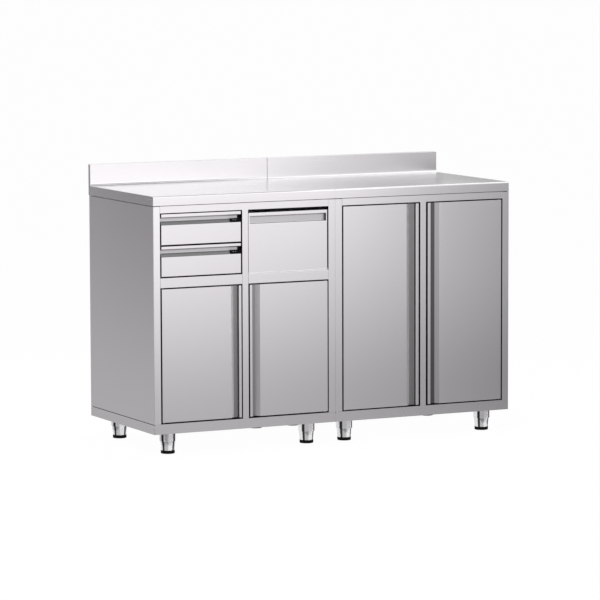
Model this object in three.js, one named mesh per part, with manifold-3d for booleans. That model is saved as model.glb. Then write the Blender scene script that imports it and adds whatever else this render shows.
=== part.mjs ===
// Waiter service station: two stainless steel cabinets stand side by side on adjustable legs.
// Each has its own worktop with a rear upstand. The left one holds two drawers and a tilting
// waste bin above a cupboard with two doors, the right one is a tall cupboard with two doors.
// Millimetres, +Z up, the front faces -Y, the origin is on the floor under the middle.

import * as THREE from 'three';
import { mergeVertices } from 'three/addons/utils/BufferGeometryUtils.js';
import Module from 'manifold-3d';

const wasm = await Module();
wasm.setup();

// Overall sizes
const MODULE_WIDTH = 750;        // middle of the station to the end of one cabinet
const MODULE_GAP = 1.6;          // hairline between the two cabinets
const WORKTOP_DEPTH = 600;
const LEG_HEIGHT = 85;           // floor to the underside of the cabinets
const CABINET_HEIGHT = 845.5;    // underside of the cabinets to the seam below the worktops
const WORKTOP_SEAM = 0.5;        // seam between a cabinet and its worktop
const WORKTOP_LIP = 37;          // height of a worktop's folded edge
const SPLASH_HEIGHT = 82;        // upstand above the worktop
const SPLASH_THICKNESS = 16;
const REAR_INSET = 5;            // the cabinets stop short of the worktop's rear edge

// Sheet metal
const SHEET = 1.2;
const FIT = 0.3;                 // gap between pieces that meet
const CUT = 1;                   // a cut runs this far past what it opens
const FRONT_BEND = 6;            // outer radius of a worktop's front edge
const COVE = 10;                 // radius where a worktop turns up into its upstand
const SPLASH_BEND = 2;           // outer radius along the top of the upstand
const LIP_RETURN = 18;           // inward fold under a worktop's edge
const BEND_STEPS = 5;            // facets in a bend

// Cabinet frame
const STILE_WIDTH = 28;          // front fold of a side panel
const STILE_RETURN = 20;         // fold behind a stile
const MULLION_WIDTH = 25;        // upright between two bays
const TOP_RAIL = 26.5;
const MID_RAIL = 37;             // front fold of the deck below the drawers
const RAIL_RETURN = 25;          // fold behind the top rail and the mullion
const BACK_FLANGE = 20;          // fold of the back panel along the sides
const SIDE_SKIRT = 35;           // floor pan's fold below a side panel
const FLOOR_LIP = 2.5;           // the floor pan's front stands above its floor by this
const DRAWER_BAY = 239;          // clear height of the drawers and the bin
const DIVIDER_FOOT = 15;         // fold that stands the divider on the deck
const SHELF_RISE = 390;          // shelf above the floor of the right cupboard
const SHELF_FLANGE = 25;         // downward folds of the shelf
const SHELF_SETBACK = 45;        // shelf's front edge behind the cabinet's front

// Doors, drawer fronts and the bin's front
const FRONT_THICKNESS = 18;
const FRONT_SIDE_GAP = 5;        // beside every front
const FRONT_GAP = 3;             // above and below a door or a drawer
const GRIP_DEPTH = 12;           // finger channel in every front
const DRAWER_LIP = 12.5;
const DRAWER_GRIP_FLAT = 14.5;
const DRAWER_GRIP_SLOPE = 15;
const BIN_LIP = 13;
const BIN_GRIP_FLAT = 28;
const LOW_DOOR_LIP = 11;
const LOW_DOOR_GRIP_FLAT = 18;
const LOW_DOOR_GRIP_SLOPE = 14;
const TALL_DOOR_LIP = 13;
const TALL_DOOR_GRIP_FLAT = 23;
const TALL_DOOR_GRIP_SLOPE = 16;

// Pivot rods
const DOOR_PIVOT_INSET = 8;      // from a door's edge and from its face
const DOOR_ROD_RADIUS = 4;
const BIN_ROD_RADIUS = 2.5;
const ROD_CLEARANCE = 0.5;       // round a rod in its hole
const ROD_TO_SHEET = 0.8;        // between the bin's rod and the sheet beside it
const ROD_END = 4;               // a rod goes this far past the sheet that holds it
const ROUND_SIDES = 16;          // facets of a rod or a hole

// Drawers and their slides
const TRAY_DEPTH = 480;
const TRAY_HEIGHT = 80;
const TRAY_RISE = 10;            // tray's floor above the foot of its front
const SLIDE_SPACE = 13;          // between a tray and the edge of its bay
const SLIDE_LENGTH = 470;
const SLIDE_SETBACK = 26;        // slide's front end behind the cabinet's front
const SLIDE_HEIGHT = 36;
const SLIDE_STEP = 2.4;          // clearance between nested members
const SLIDE_PAD = 40;            // length of a slide's fixing pad
const SLIDE_PAD_INSET = 10;      // pad in from the end of its slide

// Thumb latches of the drawers
const LATCH_LENGTH = 41;
const LATCH_TAB = 8;
const LATCH_TAB_THICKNESS = 3;
const LATCH_TAB_INSET = 1;       // tab's edge from the latch's end
const LATCH_FACE_SETBACK = 1;    // latch behind the drawer's face
const LATCH_TAB_SETBACK = 0.5;   // tab in front of the latch's back

// Tilting bin
const BIN_TOP_GAP = 12;
const BIN_SWING_CLEARANCE = 0.5; // under the bin's front as it swings
const BIN_CHANNEL_END = 5;       // closed ends of the bin's finger channel
const HOPPER_DEPTH = 190;
const HOPPER_SIDE_INSET = 12;    // hopper's sides in from the ends of the bin's front
const HOPPER_RIM_DROP = 2;       // hopper's rim below the top of its front plate
const HOPPER_ARC_STEPS = 8;

// Legs
const LEG_SIDE_INSETS = {        // legs' centres from the left and the right side of their cabinet
  left: [93, 79],
  right: [80, 70],
};
const LEG_FRONT_INSET = 88;      // leg's centre from the front
const LEG_REAR_INSET = 65;       // leg's centre from the rear of the worktop
const LEG_SIDES = 20;            // facets of a leg
const SLEEVE_RADIUS = 31.5;
const SLEEVE_WALL = 2.5;
const SLEEVE_DROP = 38;          // sleeve below the cabinet
const SLEEVE_FLANGE_RADIUS = 45;
const SLEEVE_FLANGE = 3;
const FOOT_CLEARANCE = 0.8;      // between a foot and its sleeve
const FOOT_ENGAGED = 42;         // length of foot inside its sleeve
const FOOT_BOTTOM_RADIUS = 25;
const PAD_RADIUS = 26.3;
const PAD_HEIGHT = 9.5;
const PAD_CHAMFER = 1.5;

// Places that follow from the sizes
const FRONT = -WORKTOP_DEPTH / 2;
const REAR = WORKTOP_DEPTH / 2;
const CABINET_REAR = REAR - REAR_INSET;
const BACK_INSIDE = CABINET_REAR - SHEET;
const SIDE_REAR = CABINET_REAR - BACK_FLANGE;
const FRONTS_BACK = FRONT + FRONT_THICKNESS;
const CABINET_BOTTOM = LEG_HEIGHT;
const CABINET_TOP = CABINET_BOTTOM + CABINET_HEIGHT;
const FLOOR_TOP = CABINET_BOTTOM + SIDE_SKIRT;
const SKIRT_TOP = FLOOR_TOP + FLOOR_LIP;
const TOP_RAIL_BOTTOM = CABINET_TOP - TOP_RAIL;
const DECK_TOP = TOP_RAIL_BOTTOM - DRAWER_BAY;
const MID_RAIL_BOTTOM = DECK_TOP - MID_RAIL;
const WORKTOP_BOTTOM = CABINET_TOP + WORKTOP_SEAM;
const WORKTOP_TOP = WORKTOP_BOTTOM + WORKTOP_LIP;
const SPLASH_TOP = WORKTOP_TOP + SPLASH_HEIGHT;
const SPLASH_FRONT = REAR - SPLASH_THICKNESS;
const DOOR_PIVOT_Y = FRONT + DOOR_PIVOT_INSET;
const BIN_PIVOT_INSET = SHEET + ROD_TO_SHEET + BIN_ROD_RADIUS;
const BIN_BOTTOM = DECK_TOP + BIN_SWING_CLEARANCE;
const BIN_TOP = TOP_RAIL_BOTTOM - BIN_TOP_GAP;
const DRAWER_FRONT_HEIGHT = (DRAWER_BAY - 3 * FRONT_GAP) / 2;

// Cabinets, their mullions and their bays along X
function cabinetSpan(x0, x1) {
  const middle = (x0 + x1) / 2;
  const half = MULLION_WIDTH / 2;
  return {
    x0,
    x1,
    middle,
    lowBay: { x0: x0 + STILE_WIDTH, x1: middle - half },
    highBay: { x0: middle + half, x1: x1 - STILE_WIDTH },
  };
}

const LEFT = cabinetSpan(-MODULE_WIDTH, -MODULE_GAP / 2);
const RIGHT = cabinetSpan(MODULE_GAP / 2, MODULE_WIDTH);

// Materials
function brushedSteel() {
  return new THREE.MeshStandardMaterial({ color: 0xc4c4c6, roughness: 0.35, metalness: 1 });
}

function polishedSteel() {
  return new THREE.MeshStandardMaterial({ color: 0xd4d4d6, roughness: 0.12, metalness: 1 });
}

function galvanisedSteel() {
  return new THREE.MeshStandardMaterial({ color: 0xa8abae, roughness: 0.45, metalness: 1 });
}

function blackPlastic() {
  return new THREE.MeshStandardMaterial({ color: 0x151517, roughness: 0.5, metalness: 0 });
}

// Solids from closed geometry
function solidOf(geometry) {
  const bare = geometry.clone();
  bare.deleteAttribute('normal');
  bare.deleteAttribute('uv');
  const merged = mergeVertices(bare);
  const corners = merged.index.array;
  const kept = [];
  for (let i = 0; i < corners.length; i += 3) {
    const [a, b, c] = corners.slice(i, i + 3);
    if (a !== b && b !== c && c !== a) {
      kept.push(a, b, c);
    }
  }
  return new wasm.Manifold(new wasm.Mesh({
    numProp: 3,
    vertProperties: merged.attributes.position.array,
    triVerts: Uint32Array.from(kept),
  }));
}

function join(first, ...others) {
  return others.reduce((whole, piece) => whole.add(piece), first);
}

// A copy of a geometry whose corners, below and above zero on each axis, go exactly to two limits
function stretched(geometry, low, high) {
  const place = geometry.attributes.position;
  for (let i = 0; i < place.count; i += 1) {
    place.setXYZ(i, ...[0, 1, 2].map((axis) => {
      const value = place.getComponent(i, axis);
      return low[axis] === null ? value : (value > 0 ? high : low)[axis];
    }));
  }
  return geometry;
}

function block(low, high) {
  return solidOf(stretched(new THREE.BoxGeometry(), low, high));
}

function extruded(outline, low, high) {
  const shape = new THREE.Shape(outline.map(([a, b]) => new THREE.Vector2(a, b)));
  const geometry = new THREE.ExtrudeGeometry(shape, { depth: 1, bevelEnabled: false });
  return stretched(geometry, [null, null, low], [null, null, high]);
}

const AXIS_X = new THREE.Vector3(1, 0, 0);
const AXIS_Y = new THREE.Vector3(0, 1, 0);
const AXIS_Z = new THREE.Vector3(0, 0, 1);

// A prism along X from an outline in Y and Z
function prismX(outline, x0, x1) {
  const geometry = extruded(outline, x0, x1);
  geometry.applyMatrix4(new THREE.Matrix4().makeBasis(AXIS_Y, AXIS_Z, AXIS_X));
  return solidOf(geometry);
}

// A prism along Y from an outline in X and Z
function prismY(outline, y0, y1) {
  const geometry = extruded(outline, -y1, -y0);
  geometry.applyMatrix4(new THREE.Matrix4().makeBasis(AXIS_X, AXIS_Z, AXIS_Y.clone().negate()));
  return solidOf(geometry);
}

// A prism along Z from an outline in X and Y
function prismZ(outline, z0, z1) {
  return solidOf(extruded(outline, z0, z1));
}

function rodX(radius, x0, x1, y, z) {
  const geometry = new THREE.CylinderGeometry(radius, radius, x1 - x0, ROUND_SIDES);
  geometry.rotateZ(Math.PI / 2);
  geometry.translate((x0 + x1) / 2, y, z);
  return solidOf(geometry);
}

function rodZ(radius, x, y, z0, z1) {
  const geometry = new THREE.CylinderGeometry(radius, radius, z1 - z0, ROUND_SIDES);
  geometry.rotateX(Math.PI / 2);
  geometry.translate(x, y, (z0 + z1) / 2);
  return solidOf(geometry);
}

function turned(profile) {
  const geometry = new THREE.LatheGeometry(profile.map(([r, z]) => new THREE.Vector2(r, z)), LEG_SIDES);
  geometry.rotateX(Math.PI / 2);
  return solidOf(geometry);
}

// A path of points [a, b] or [a, b, radius], with an arc at each corner that has a radius
function bentPath(points) {
  const path = [];
  points.forEach(([a, b, radius], i) => {
    const corner = new THREE.Vector2(a, b);
    if (!radius) {
      path.push([a, b]);
      return;
    }
    const before = new THREE.Vector2(...points[i - 1]).sub(corner).normalize();
    const after = new THREE.Vector2(...points[i + 1]).sub(corner).normalize();
    const halfAngle = Math.acos(before.dot(after)) / 2;
    const inward = before.clone().add(after).normalize();
    const centre = corner.clone().addScaledVector(inward, radius / Math.sin(halfAngle));
    const start = corner.clone().addScaledVector(before, radius / Math.tan(halfAngle)).sub(centre);
    const end = corner.clone().addScaledVector(after, radius / Math.tan(halfAngle)).sub(centre);
    const sweep = Math.atan2(start.cross(end), start.dot(end));
    for (let step = 0; step <= BEND_STEPS; step += 1) {
      const spoke = start.clone().rotateAround(new THREE.Vector2(), sweep * step / BEND_STEPS);
      path.push([centre.x + spoke.x, centre.y + spoke.y]);
    }
  });
  return path;
}

// Inner face of a sheet that follows a path, with its thickness on the path's left or right
const ON_THE_LEFT = 1;
const ON_THE_RIGHT = -1;

function innerFace(path, side) {
  const points = path.map(([a, b]) => new THREE.Vector2(a, b));
  const normals = points.slice(1).map((point, i) => {
    const along = point.clone().sub(points[i]).normalize();
    return new THREE.Vector2(-along.y, along.x).multiplyScalar(side);
  });
  return points.map((point, i) => {
    const first = normals[Math.max(i - 1, 0)];
    const second = normals[Math.min(i, normals.length - 1)];
    const mitre = first.clone().add(second).normalize();
    const offset = point.clone().addScaledVector(mitre, SHEET / mitre.dot(first));
    return [offset.x, offset.y];
  });
}

// Closed outline of a folded sheet
function sheetOutline(path, side) {
  return [...path, ...innerFace(path, side).reverse()];
}

// Outline of the hollow inside a folded sheet, opened along [a, b] through the mouth between its ends
function hollowOutline(path, side, [a, b]) {
  const inner = innerFace(path, side);
  const past = SHEET + CUT;
  const outside = ([c, d]) => [c + a * past, d + b * past];
  return [outside(inner[0]), ...inner, outside(inner[inner.length - 1])];
}

function addMesh(parent, name, solid, material) {
  const { vertProperties, triVerts } = solid.getMesh();
  const geometry = new THREE.BufferGeometry();
  geometry.setAttribute('position', new THREE.BufferAttribute(vertProperties, 3));
  geometry.setIndex(new THREE.BufferAttribute(triVerts, 1));
  geometry.computeVertexNormals();
  const mesh = new THREE.Mesh(geometry, material);
  mesh.name = name;
  parent.add(mesh);
  return mesh;
}

function addGroup(parent, x = 0, y = 0, z = 0) {
  const group = new THREE.Group();
  group.position.set(x, y, z);
  parent.add(group);
  return group;
}

// Worktop, one folded sheet with a rounded front edge and a hollow upstand, and two end plates
function worktop(cabinet) {
  const path = bentPath([
    [FRONT + LIP_RETURN, WORKTOP_BOTTOM],
    [FRONT, WORKTOP_BOTTOM],
    [FRONT, WORKTOP_TOP, FRONT_BEND],
    [SPLASH_FRONT, WORKTOP_TOP, COVE],
    [SPLASH_FRONT, SPLASH_TOP, SPLASH_BEND],
    [REAR, SPLASH_TOP, SPLASH_BEND],
    [REAR, WORKTOP_BOTTOM],
    [REAR - LIP_RETURN, WORKTOP_BOTTOM],
  ]);
  const hollow = hollowOutline(path, ON_THE_RIGHT, [0, -1]);
  const whole = prismX(path, cabinet.x0, cabinet.x1);
  return whole.subtract(prismX(hollow, cabinet.x0 + SHEET, cabinet.x1 - SHEET));
}

// Side panel, whose front edge is folded into a stile; hand is 1 at the cabinet's low X side
function sidePanel(cabinet, hand) {
  const edge = hand > 0 ? cabinet.x0 : cabinet.x1;
  const outline = sheetOutline([
    [STILE_WIDTH, FRONT + STILE_RETURN],
    [STILE_WIDTH, FRONT],
    [0, FRONT],
    [0, SIDE_REAR - FIT],
  ], ON_THE_RIGHT);
  const panel = prismZ(outline.map(([u, y]) => [edge + hand * u, y]), FLOOR_TOP + FIT, CABINET_TOP);
  const skirtRoom = block(
    [edge - STILE_WIDTH - FIT, FRONT - FIT, CABINET_BOTTOM],
    [edge + STILE_WIDTH + FIT, FRONT + SHEET + FIT, SKIRT_TOP + FIT],
  );
  return panel.subtract(skirtRoom);
}

function backPanel(cabinet) {
  const outline = sheetOutline([
    [cabinet.x0, SIDE_REAR],
    [cabinet.x0, CABINET_REAR],
    [cabinet.x1, CABINET_REAR],
    [cabinet.x1, SIDE_REAR],
  ], ON_THE_RIGHT);
  return prismZ(outline, CABINET_BOTTOM, CABINET_TOP);
}

// Floor pan with skirts on all four sides, and holes for the door rods
function panOutline(cabinet, inset) {
  const besideBack = SHEET + FIT + inset;
  const shoulder = SIDE_REAR - FIT - inset;
  const rear = BACK_INSIDE - FIT - inset;
  return [
    [cabinet.x0 + inset, FRONT + inset],
    [cabinet.x1 - inset, FRONT + inset],
    [cabinet.x1 - inset, shoulder],
    [cabinet.x1 - besideBack, shoulder],
    [cabinet.x1 - besideBack, rear],
    [cabinet.x0 + besideBack, rear],
    [cabinet.x0 + besideBack, shoulder],
    [cabinet.x0 + inset, shoulder],
  ];
}

function floorPan(cabinet, rodPlaces) {
  const whole = prismZ(panOutline(cabinet, 0), CABINET_BOTTOM, SKIRT_TOP);
  const above = block(
    [cabinet.x0 - CUT, FRONT + SHEET, FLOOR_TOP],
    [cabinet.x1 + CUT, REAR, SKIRT_TOP + CUT],
  );
  const below = prismZ(panOutline(cabinet, SHEET), CABINET_BOTTOM - CUT, FLOOR_TOP - SHEET);
  return withRodHoles(whole.subtract(above).subtract(below), rodPlaces, CABINET_BOTTOM, SKIRT_TOP);
}

function withRodHoles(solid, rodPlaces, z0, z1) {
  const radius = DOOR_ROD_RADIUS + ROD_CLEARANCE;
  return rodPlaces.reduce((rest, x) => rest.subtract(rodZ(radius, x, DOOR_PIVOT_Y, z0, z1)), solid);
}

// Top rail with the mullion welded under it, both folded back at their edges
function frontFrame(cabinet) {
  const x0 = cabinet.lowBay.x0 + FIT;
  const x1 = cabinet.highBay.x1 - FIT;
  const mullion = { x0: cabinet.lowBay.x1, x1: cabinet.highBay.x0 };
  const rear = FRONT + RAIL_RETURN;
  const whole = prismY([
    [x0, CABINET_TOP],
    [x0, TOP_RAIL_BOTTOM],
    [mullion.x0, TOP_RAIL_BOTTOM],
    [mullion.x0, SKIRT_TOP + FIT],
    [mullion.x1, SKIRT_TOP + FIT],
    [mullion.x1, TOP_RAIL_BOTTOM],
    [x1, TOP_RAIL_BOTTOM],
    [x1, CABINET_TOP],
  ], FRONT, rear);
  const insideRail = block(
    [x0 - CUT, FRONT + SHEET, TOP_RAIL_BOTTOM + SHEET],
    [x1 + CUT, rear + CUT, CABINET_TOP - SHEET],
  );
  const insideMullion = block(
    [mullion.x0 + SHEET, FRONT + SHEET, SKIRT_TOP],
    [mullion.x1 - SHEET, rear + CUT, TOP_RAIL_BOTTOM],
  );
  return whole.subtract(insideRail).subtract(insideMullion);
}

// Deck below the drawers and the bin, folded down all round; its front fold is the middle rail
function drawerDeck(cabinet, rodPlaces) {
  const { lowBay, highBay } = cabinet;
  const x0 = cabinet.x0 + SHEET + FIT;
  const x1 = cabinet.x1 - SHEET - FIT;
  const behindStiles = FRONT + STILE_RETURN + FIT;
  const behindMullion = FRONT + RAIL_RETURN + FIT;
  const rear = BACK_INSIDE - FIT;
  const whole = prismZ([
    [x0, behindStiles],
    [lowBay.x0 + FIT, behindStiles],
    [lowBay.x0 + FIT, FRONT],
    [lowBay.x1 - FIT, FRONT],
    [lowBay.x1 - FIT, behindMullion],
    [highBay.x0 + FIT, behindMullion],
    [highBay.x0 + FIT, FRONT],
    [highBay.x1 - FIT, FRONT],
    [highBay.x1 - FIT, behindStiles],
    [x1, behindStiles],
    [x1, rear],
    [x0, rear],
  ], MID_RAIL_BOTTOM, DECK_TOP);
  const under = block(
    [x0 + SHEET, behindStiles + SHEET, MID_RAIL_BOTTOM - CUT],
    [x1 - SHEET, rear - SHEET, DECK_TOP - SHEET],
  );
  const inRail = (bay) => block(
    [bay.x0 + FIT + SHEET, FRONT + SHEET, MID_RAIL_BOTTOM + SHEET],
    [bay.x1 - FIT - SHEET, behindStiles + SHEET + CUT, DECK_TOP - SHEET],
  );
  const folded = whole.subtract(join(under, inRail(lowBay), inRail(highBay)));
  return withRodHoles(folded, rodPlaces, MID_RAIL_BOTTOM - CUT, MID_RAIL_BOTTOM + SHEET + CUT);
}

// Upright between the drawers and the bin
function bayDivider(cabinet) {
  const bottom = DECK_TOP + FIT;
  const x0 = cabinet.middle - SHEET / 2;
  return prismY([
    [x0, bottom],
    [x0 + DIVIDER_FOOT, bottom],
    [x0 + DIVIDER_FOOT, bottom + SHEET],
    [x0 + SHEET, bottom + SHEET],
    [x0 + SHEET, CABINET_TOP],
    [x0, CABINET_TOP],
  ], FRONT + RAIL_RETURN + FIT, BACK_INSIDE - FIT);
}

// Shelf of the tall cupboard, folded down on all four sides
function cupboardShelf(cabinet) {
  const x0 = cabinet.x0 + SHEET + FIT;
  const x1 = cabinet.x1 - SHEET - FIT;
  const front = FRONT + SHELF_SETBACK;
  const rear = BACK_INSIDE - FIT;
  const top = FLOOR_TOP + SHELF_RISE;
  const bottom = top - SHELF_FLANGE;
  const under = block(
    [x0 + SHEET, front + SHEET, bottom - CUT],
    [x1 - SHEET, rear - SHEET, top - SHEET],
  );
  return block([x0, front, bottom], [x1, rear, top]).subtract(under);
}

// Doors, built round their pivot; hand is 1 for a door hinged at its low X edge
function doorOutline(width, grip) {
  const lipStart = width - grip.lip;
  const flatStart = lipStart - grip.flat;
  return [
    [0, FRONTS_BACK],
    [0, FRONT],
    [flatStart - grip.slope, FRONT],
    [flatStart, FRONT + GRIP_DEPTH],
    [lipStart, FRONT + GRIP_DEPTH],
    [lipStart, FRONT],
    [width, FRONT],
    [width, FRONTS_BACK],
  ].map(([u, y]) => [u - DOOR_PIVOT_INSET, y - DOOR_PIVOT_Y]);
}

function addDoor(parent, name, bay, hand, z0, z1, rodBottom, rodTop, grip) {
  const width = bay.x1 - bay.x0 - 2 * FRONT_SIDE_GAP;
  const group = addGroup(parent, doorPivotX(bay, hand), DOOR_PIVOT_Y);
  const handed = (outline) => outline.map(([u, y]) => [hand * u, y]);
  const face = doorOutline(width, grip);
  const hollow = handed(hollowOutline(face, ON_THE_LEFT, [0, 1]));
  const skin = prismZ(handed(face), z0, z1).subtract(prismZ(hollow, z0 + SHEET, z1 - SHEET));
  const hole = rodZ(DOOR_ROD_RADIUS + ROD_CLEARANCE, 0, 0, z0 - CUT, z1 + CUT);
  addMesh(group, `${name}_skin`, skin.subtract(hole), brushedSteel());

  const linerBack = FRONTS_BACK - DOOR_PIVOT_Y;
  const linerOutline = handed([
    [SHEET + FIT - DOOR_PIVOT_INSET, linerBack - SHEET],
    [width - SHEET - FIT - DOOR_PIVOT_INSET, linerBack - SHEET],
    [width - SHEET - FIT - DOOR_PIVOT_INSET, linerBack],
    [SHEET + FIT - DOOR_PIVOT_INSET, linerBack],
  ]);
  addMesh(group, `${name}_liner`, prismZ(linerOutline, z0 + SHEET + FIT, z1 - SHEET - FIT), brushedSteel());
  addMesh(group, `${name}_hinge_rod`, rodZ(DOOR_ROD_RADIUS, 0, 0, rodBottom, rodTop), galvanisedSteel());
}

function doorPivotX(bay, hand) {
  const inset = FRONT_SIDE_GAP + DOOR_PIVOT_INSET;
  return hand > 0 ? bay.x0 + inset : bay.x1 - inset;
}

// Folded front of a drawer or of the bin, with a finger channel along its top. The channel stops
// short of both ends by grip.end, or runs right through, and hem is the radius along the bottom.
function channelFront(x0, x1, z0, z1, grip, hem) {
  const lipEnd = z1 - grip.lip;
  const flatEnd = lipEnd - grip.flat;
  const slopeEnd = flatEnd - grip.slope;
  const top = [[FRONTS_BACK, z1], [FRONT, z1]];
  const channel = [
    [FRONT, lipEnd],
    [FRONT + GRIP_DEPTH, lipEnd],
    [FRONT + GRIP_DEPTH, flatEnd],
    [FRONT, slopeEnd],
  ];
  const bottom = [[FRONT, z0, hem], [FRONTS_BACK, z0]];
  const face = bentPath([...top, ...channel, ...bottom]);
  const hollow = hollowOutline(face, ON_THE_LEFT, [1, 0]);
  const whole = prismX(bentPath([...top, ...bottom]), x0, x1);
  const mouth = [...channel, [FRONT - CUT, slopeEnd], [FRONT - CUT, lipEnd]];
  const start = grip.end > 0 ? grip.end : -CUT;
  const carved = whole.subtract(prismX(mouth, x0 + start, x1 - start));
  return carved.subtract(prismX(hollow, x0 + SHEET, x1 - SHEET));
}

// Plate that closes the back of a folded front
function frontPlate(x0, x1, z0, z1) {
  const inset = SHEET + FIT;
  return block(
    [x0 + inset, FRONTS_BACK - SHEET, z0 + inset],
    [x1 - inset, FRONTS_BACK, z1 - inset],
  );
}

// Nested members of a telescopic slide; u grows from the bay's edge towards the tray
const SLIDE_MIDDLE_START = SLIDE_STEP;
const SLIDE_MIDDLE_HEIGHT = SLIDE_HEIGHT - 2 * (SHEET + SLIDE_STEP / 2);
const SLIDE_RUNNER_START = SLIDE_MIDDLE_START + SHEET + SLIDE_STEP;
const SLIDE_RUNNER_HEIGHT = SLIDE_MIDDLE_HEIGHT - 2 * (SHEET + SLIDE_STEP / 2);
const SLIDE_FLANGE_END = SLIDE_SPACE - SLIDE_STEP;
const SLIDE_Y0 = FRONT + SLIDE_SETBACK;
const SLIDE_Y1 = SLIDE_Y0 + SLIDE_LENGTH;

function slideChannel(start, height, edge, hand, middleZ) {
  const outline = sheetOutline([
    [SLIDE_FLANGE_END, -height / 2],
    [start, -height / 2],
    [start, height / 2],
    [SLIDE_FLANGE_END, height / 2],
  ], ON_THE_RIGHT);
  return prismY(outline.map(([u, z]) => [edge + hand * u, middleZ + z]), SLIDE_Y0, SLIDE_Y1);
}

function slideOuter(edge, hand, wall, middleZ) {
  const fixedTo = wall + hand * FIT;
  const insideWeb = edge + hand * SHEET / 2;
  const low = Math.min(fixedTo, insideWeb);
  const high = Math.max(fixedTo, insideWeb);
  const padHeight = SLIDE_HEIGHT - 2 * SLIDE_STEP;
  const pad = (y0) => block(
    [low, y0, middleZ - padHeight / 2],
    [high, y0 + SLIDE_PAD, middleZ + padHeight / 2],
  );
  return join(
    slideChannel(0, SLIDE_HEIGHT, edge, hand, middleZ),
    pad(SLIDE_Y0 + SLIDE_PAD_INSET),
    pad(SLIDE_Y1 - SLIDE_PAD_INSET - SLIDE_PAD),
  );
}

// Tray with the inner slide members along its sides and the plate that closes its front
function drawerTray(bay, x0, x1, z0, z1) {
  const tx0 = bay.x0 + SLIDE_SPACE;
  const tx1 = bay.x1 - SLIDE_SPACE;
  const insidePlate = FRONTS_BACK - SHEET / 2;
  const rear = FRONTS_BACK + TRAY_DEPTH;
  const bottom = z0 + TRAY_RISE;
  const top = bottom + TRAY_HEIGHT;
  const middleZ = slideMiddle(z0);
  const runner = (low, high) => block(
    [low, SLIDE_Y0, middleZ - SLIDE_RUNNER_HEIGHT / 2],
    [high, SLIDE_Y1, middleZ + SLIDE_RUNNER_HEIGHT / 2],
  );
  const inside = block(
    [tx0 + SHEET, FRONTS_BACK + SHEET, bottom + SHEET],
    [tx1 - SHEET, rear - SHEET, top + CUT],
  );
  return join(
    block([tx0, insidePlate, bottom], [tx1, rear, top]).subtract(inside),
    frontPlate(x0, x1, z0, z1),
    runner(bay.x0 + SLIDE_RUNNER_START, tx0 + SHEET / 2),
    runner(tx1 - SHEET / 2, bay.x1 - SLIDE_RUNNER_START),
  );
}

function slideMiddle(z0) {
  return z0 + TRAY_RISE + TRAY_HEIGHT / 2;
}

// Thumb latch in the end of a drawer's finger channel: a wedge on the slope and an upright tab
function thumbLatch(x1, z1) {
  const end = x1 - FIT;
  const face = FRONT + LATCH_FACE_SETBACK;
  const back = FRONT + GRIP_DEPTH - FIT;
  const lipEnd = z1 - DRAWER_LIP - FIT;
  const slopeTop = z1 - DRAWER_LIP - DRAWER_GRIP_FLAT;
  const steepness = DRAWER_GRIP_SLOPE / GRIP_DEPTH;
  const slopeAt = (y) => slopeTop - (FRONT + GRIP_DEPTH - y) * steepness + FIT * Math.hypot(1, steepness);
  const wedge = [
    [face, slopeAt(face)],
    [back, slopeAt(back)],
    [back, slopeAt(back) + FIT],
    [face, slopeAt(back) + FIT],
  ];
  const tabEnd = end - LATCH_TAB_INSET;
  const tabBack = back - LATCH_TAB_SETBACK;
  return join(
    prismX(wedge, end - LATCH_LENGTH, end),
    block(
      [tabEnd - LATCH_TAB, tabBack - LATCH_TAB_THICKNESS, slopeAt(back)],
      [tabEnd, tabBack, lipEnd],
    ),
  );
}

function addDrawer(parent, name, cabinet, z0) {
  const bay = cabinet.lowBay;
  const x0 = bay.x0 + FRONT_SIDE_GAP;
  const x1 = bay.x1 - FRONT_SIDE_GAP;
  const z1 = z0 + DRAWER_FRONT_HEIGHT;
  const middleZ = slideMiddle(z0);
  const grip = { lip: DRAWER_LIP, flat: DRAWER_GRIP_FLAT, slope: DRAWER_GRIP_SLOPE, end: 0 };
  const group = addGroup(parent);
  addMesh(group, `${name}_front`, channelFront(x0, x1, z0, z1, grip, 0), brushedSteel());
  addMesh(group, `${name}_tray`, drawerTray(bay, x0, x1, z0, z1), brushedSteel());
  addMesh(group, `${name}_latch`, thumbLatch(x1, z1), blackPlastic());
  const sides = [
    { side: 'left', edge: bay.x0, hand: 1, wall: cabinet.x0 + SHEET },
    { side: 'right', edge: bay.x1, hand: -1, wall: cabinet.middle - SHEET / 2 },
  ];
  for (const { side, edge, hand, wall } of sides) {
    const outer = slideOuter(edge, hand, wall, middleZ);
    const middle = slideChannel(SLIDE_MIDDLE_START, SLIDE_MIDDLE_HEIGHT, edge, hand, middleZ);
    addMesh(group, `${name}_${side}_slide_outer`, outer, galvanisedSteel());
    addMesh(group, `${name}_${side}_slide_middle`, middle, galvanisedSteel());
  }
}

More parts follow.
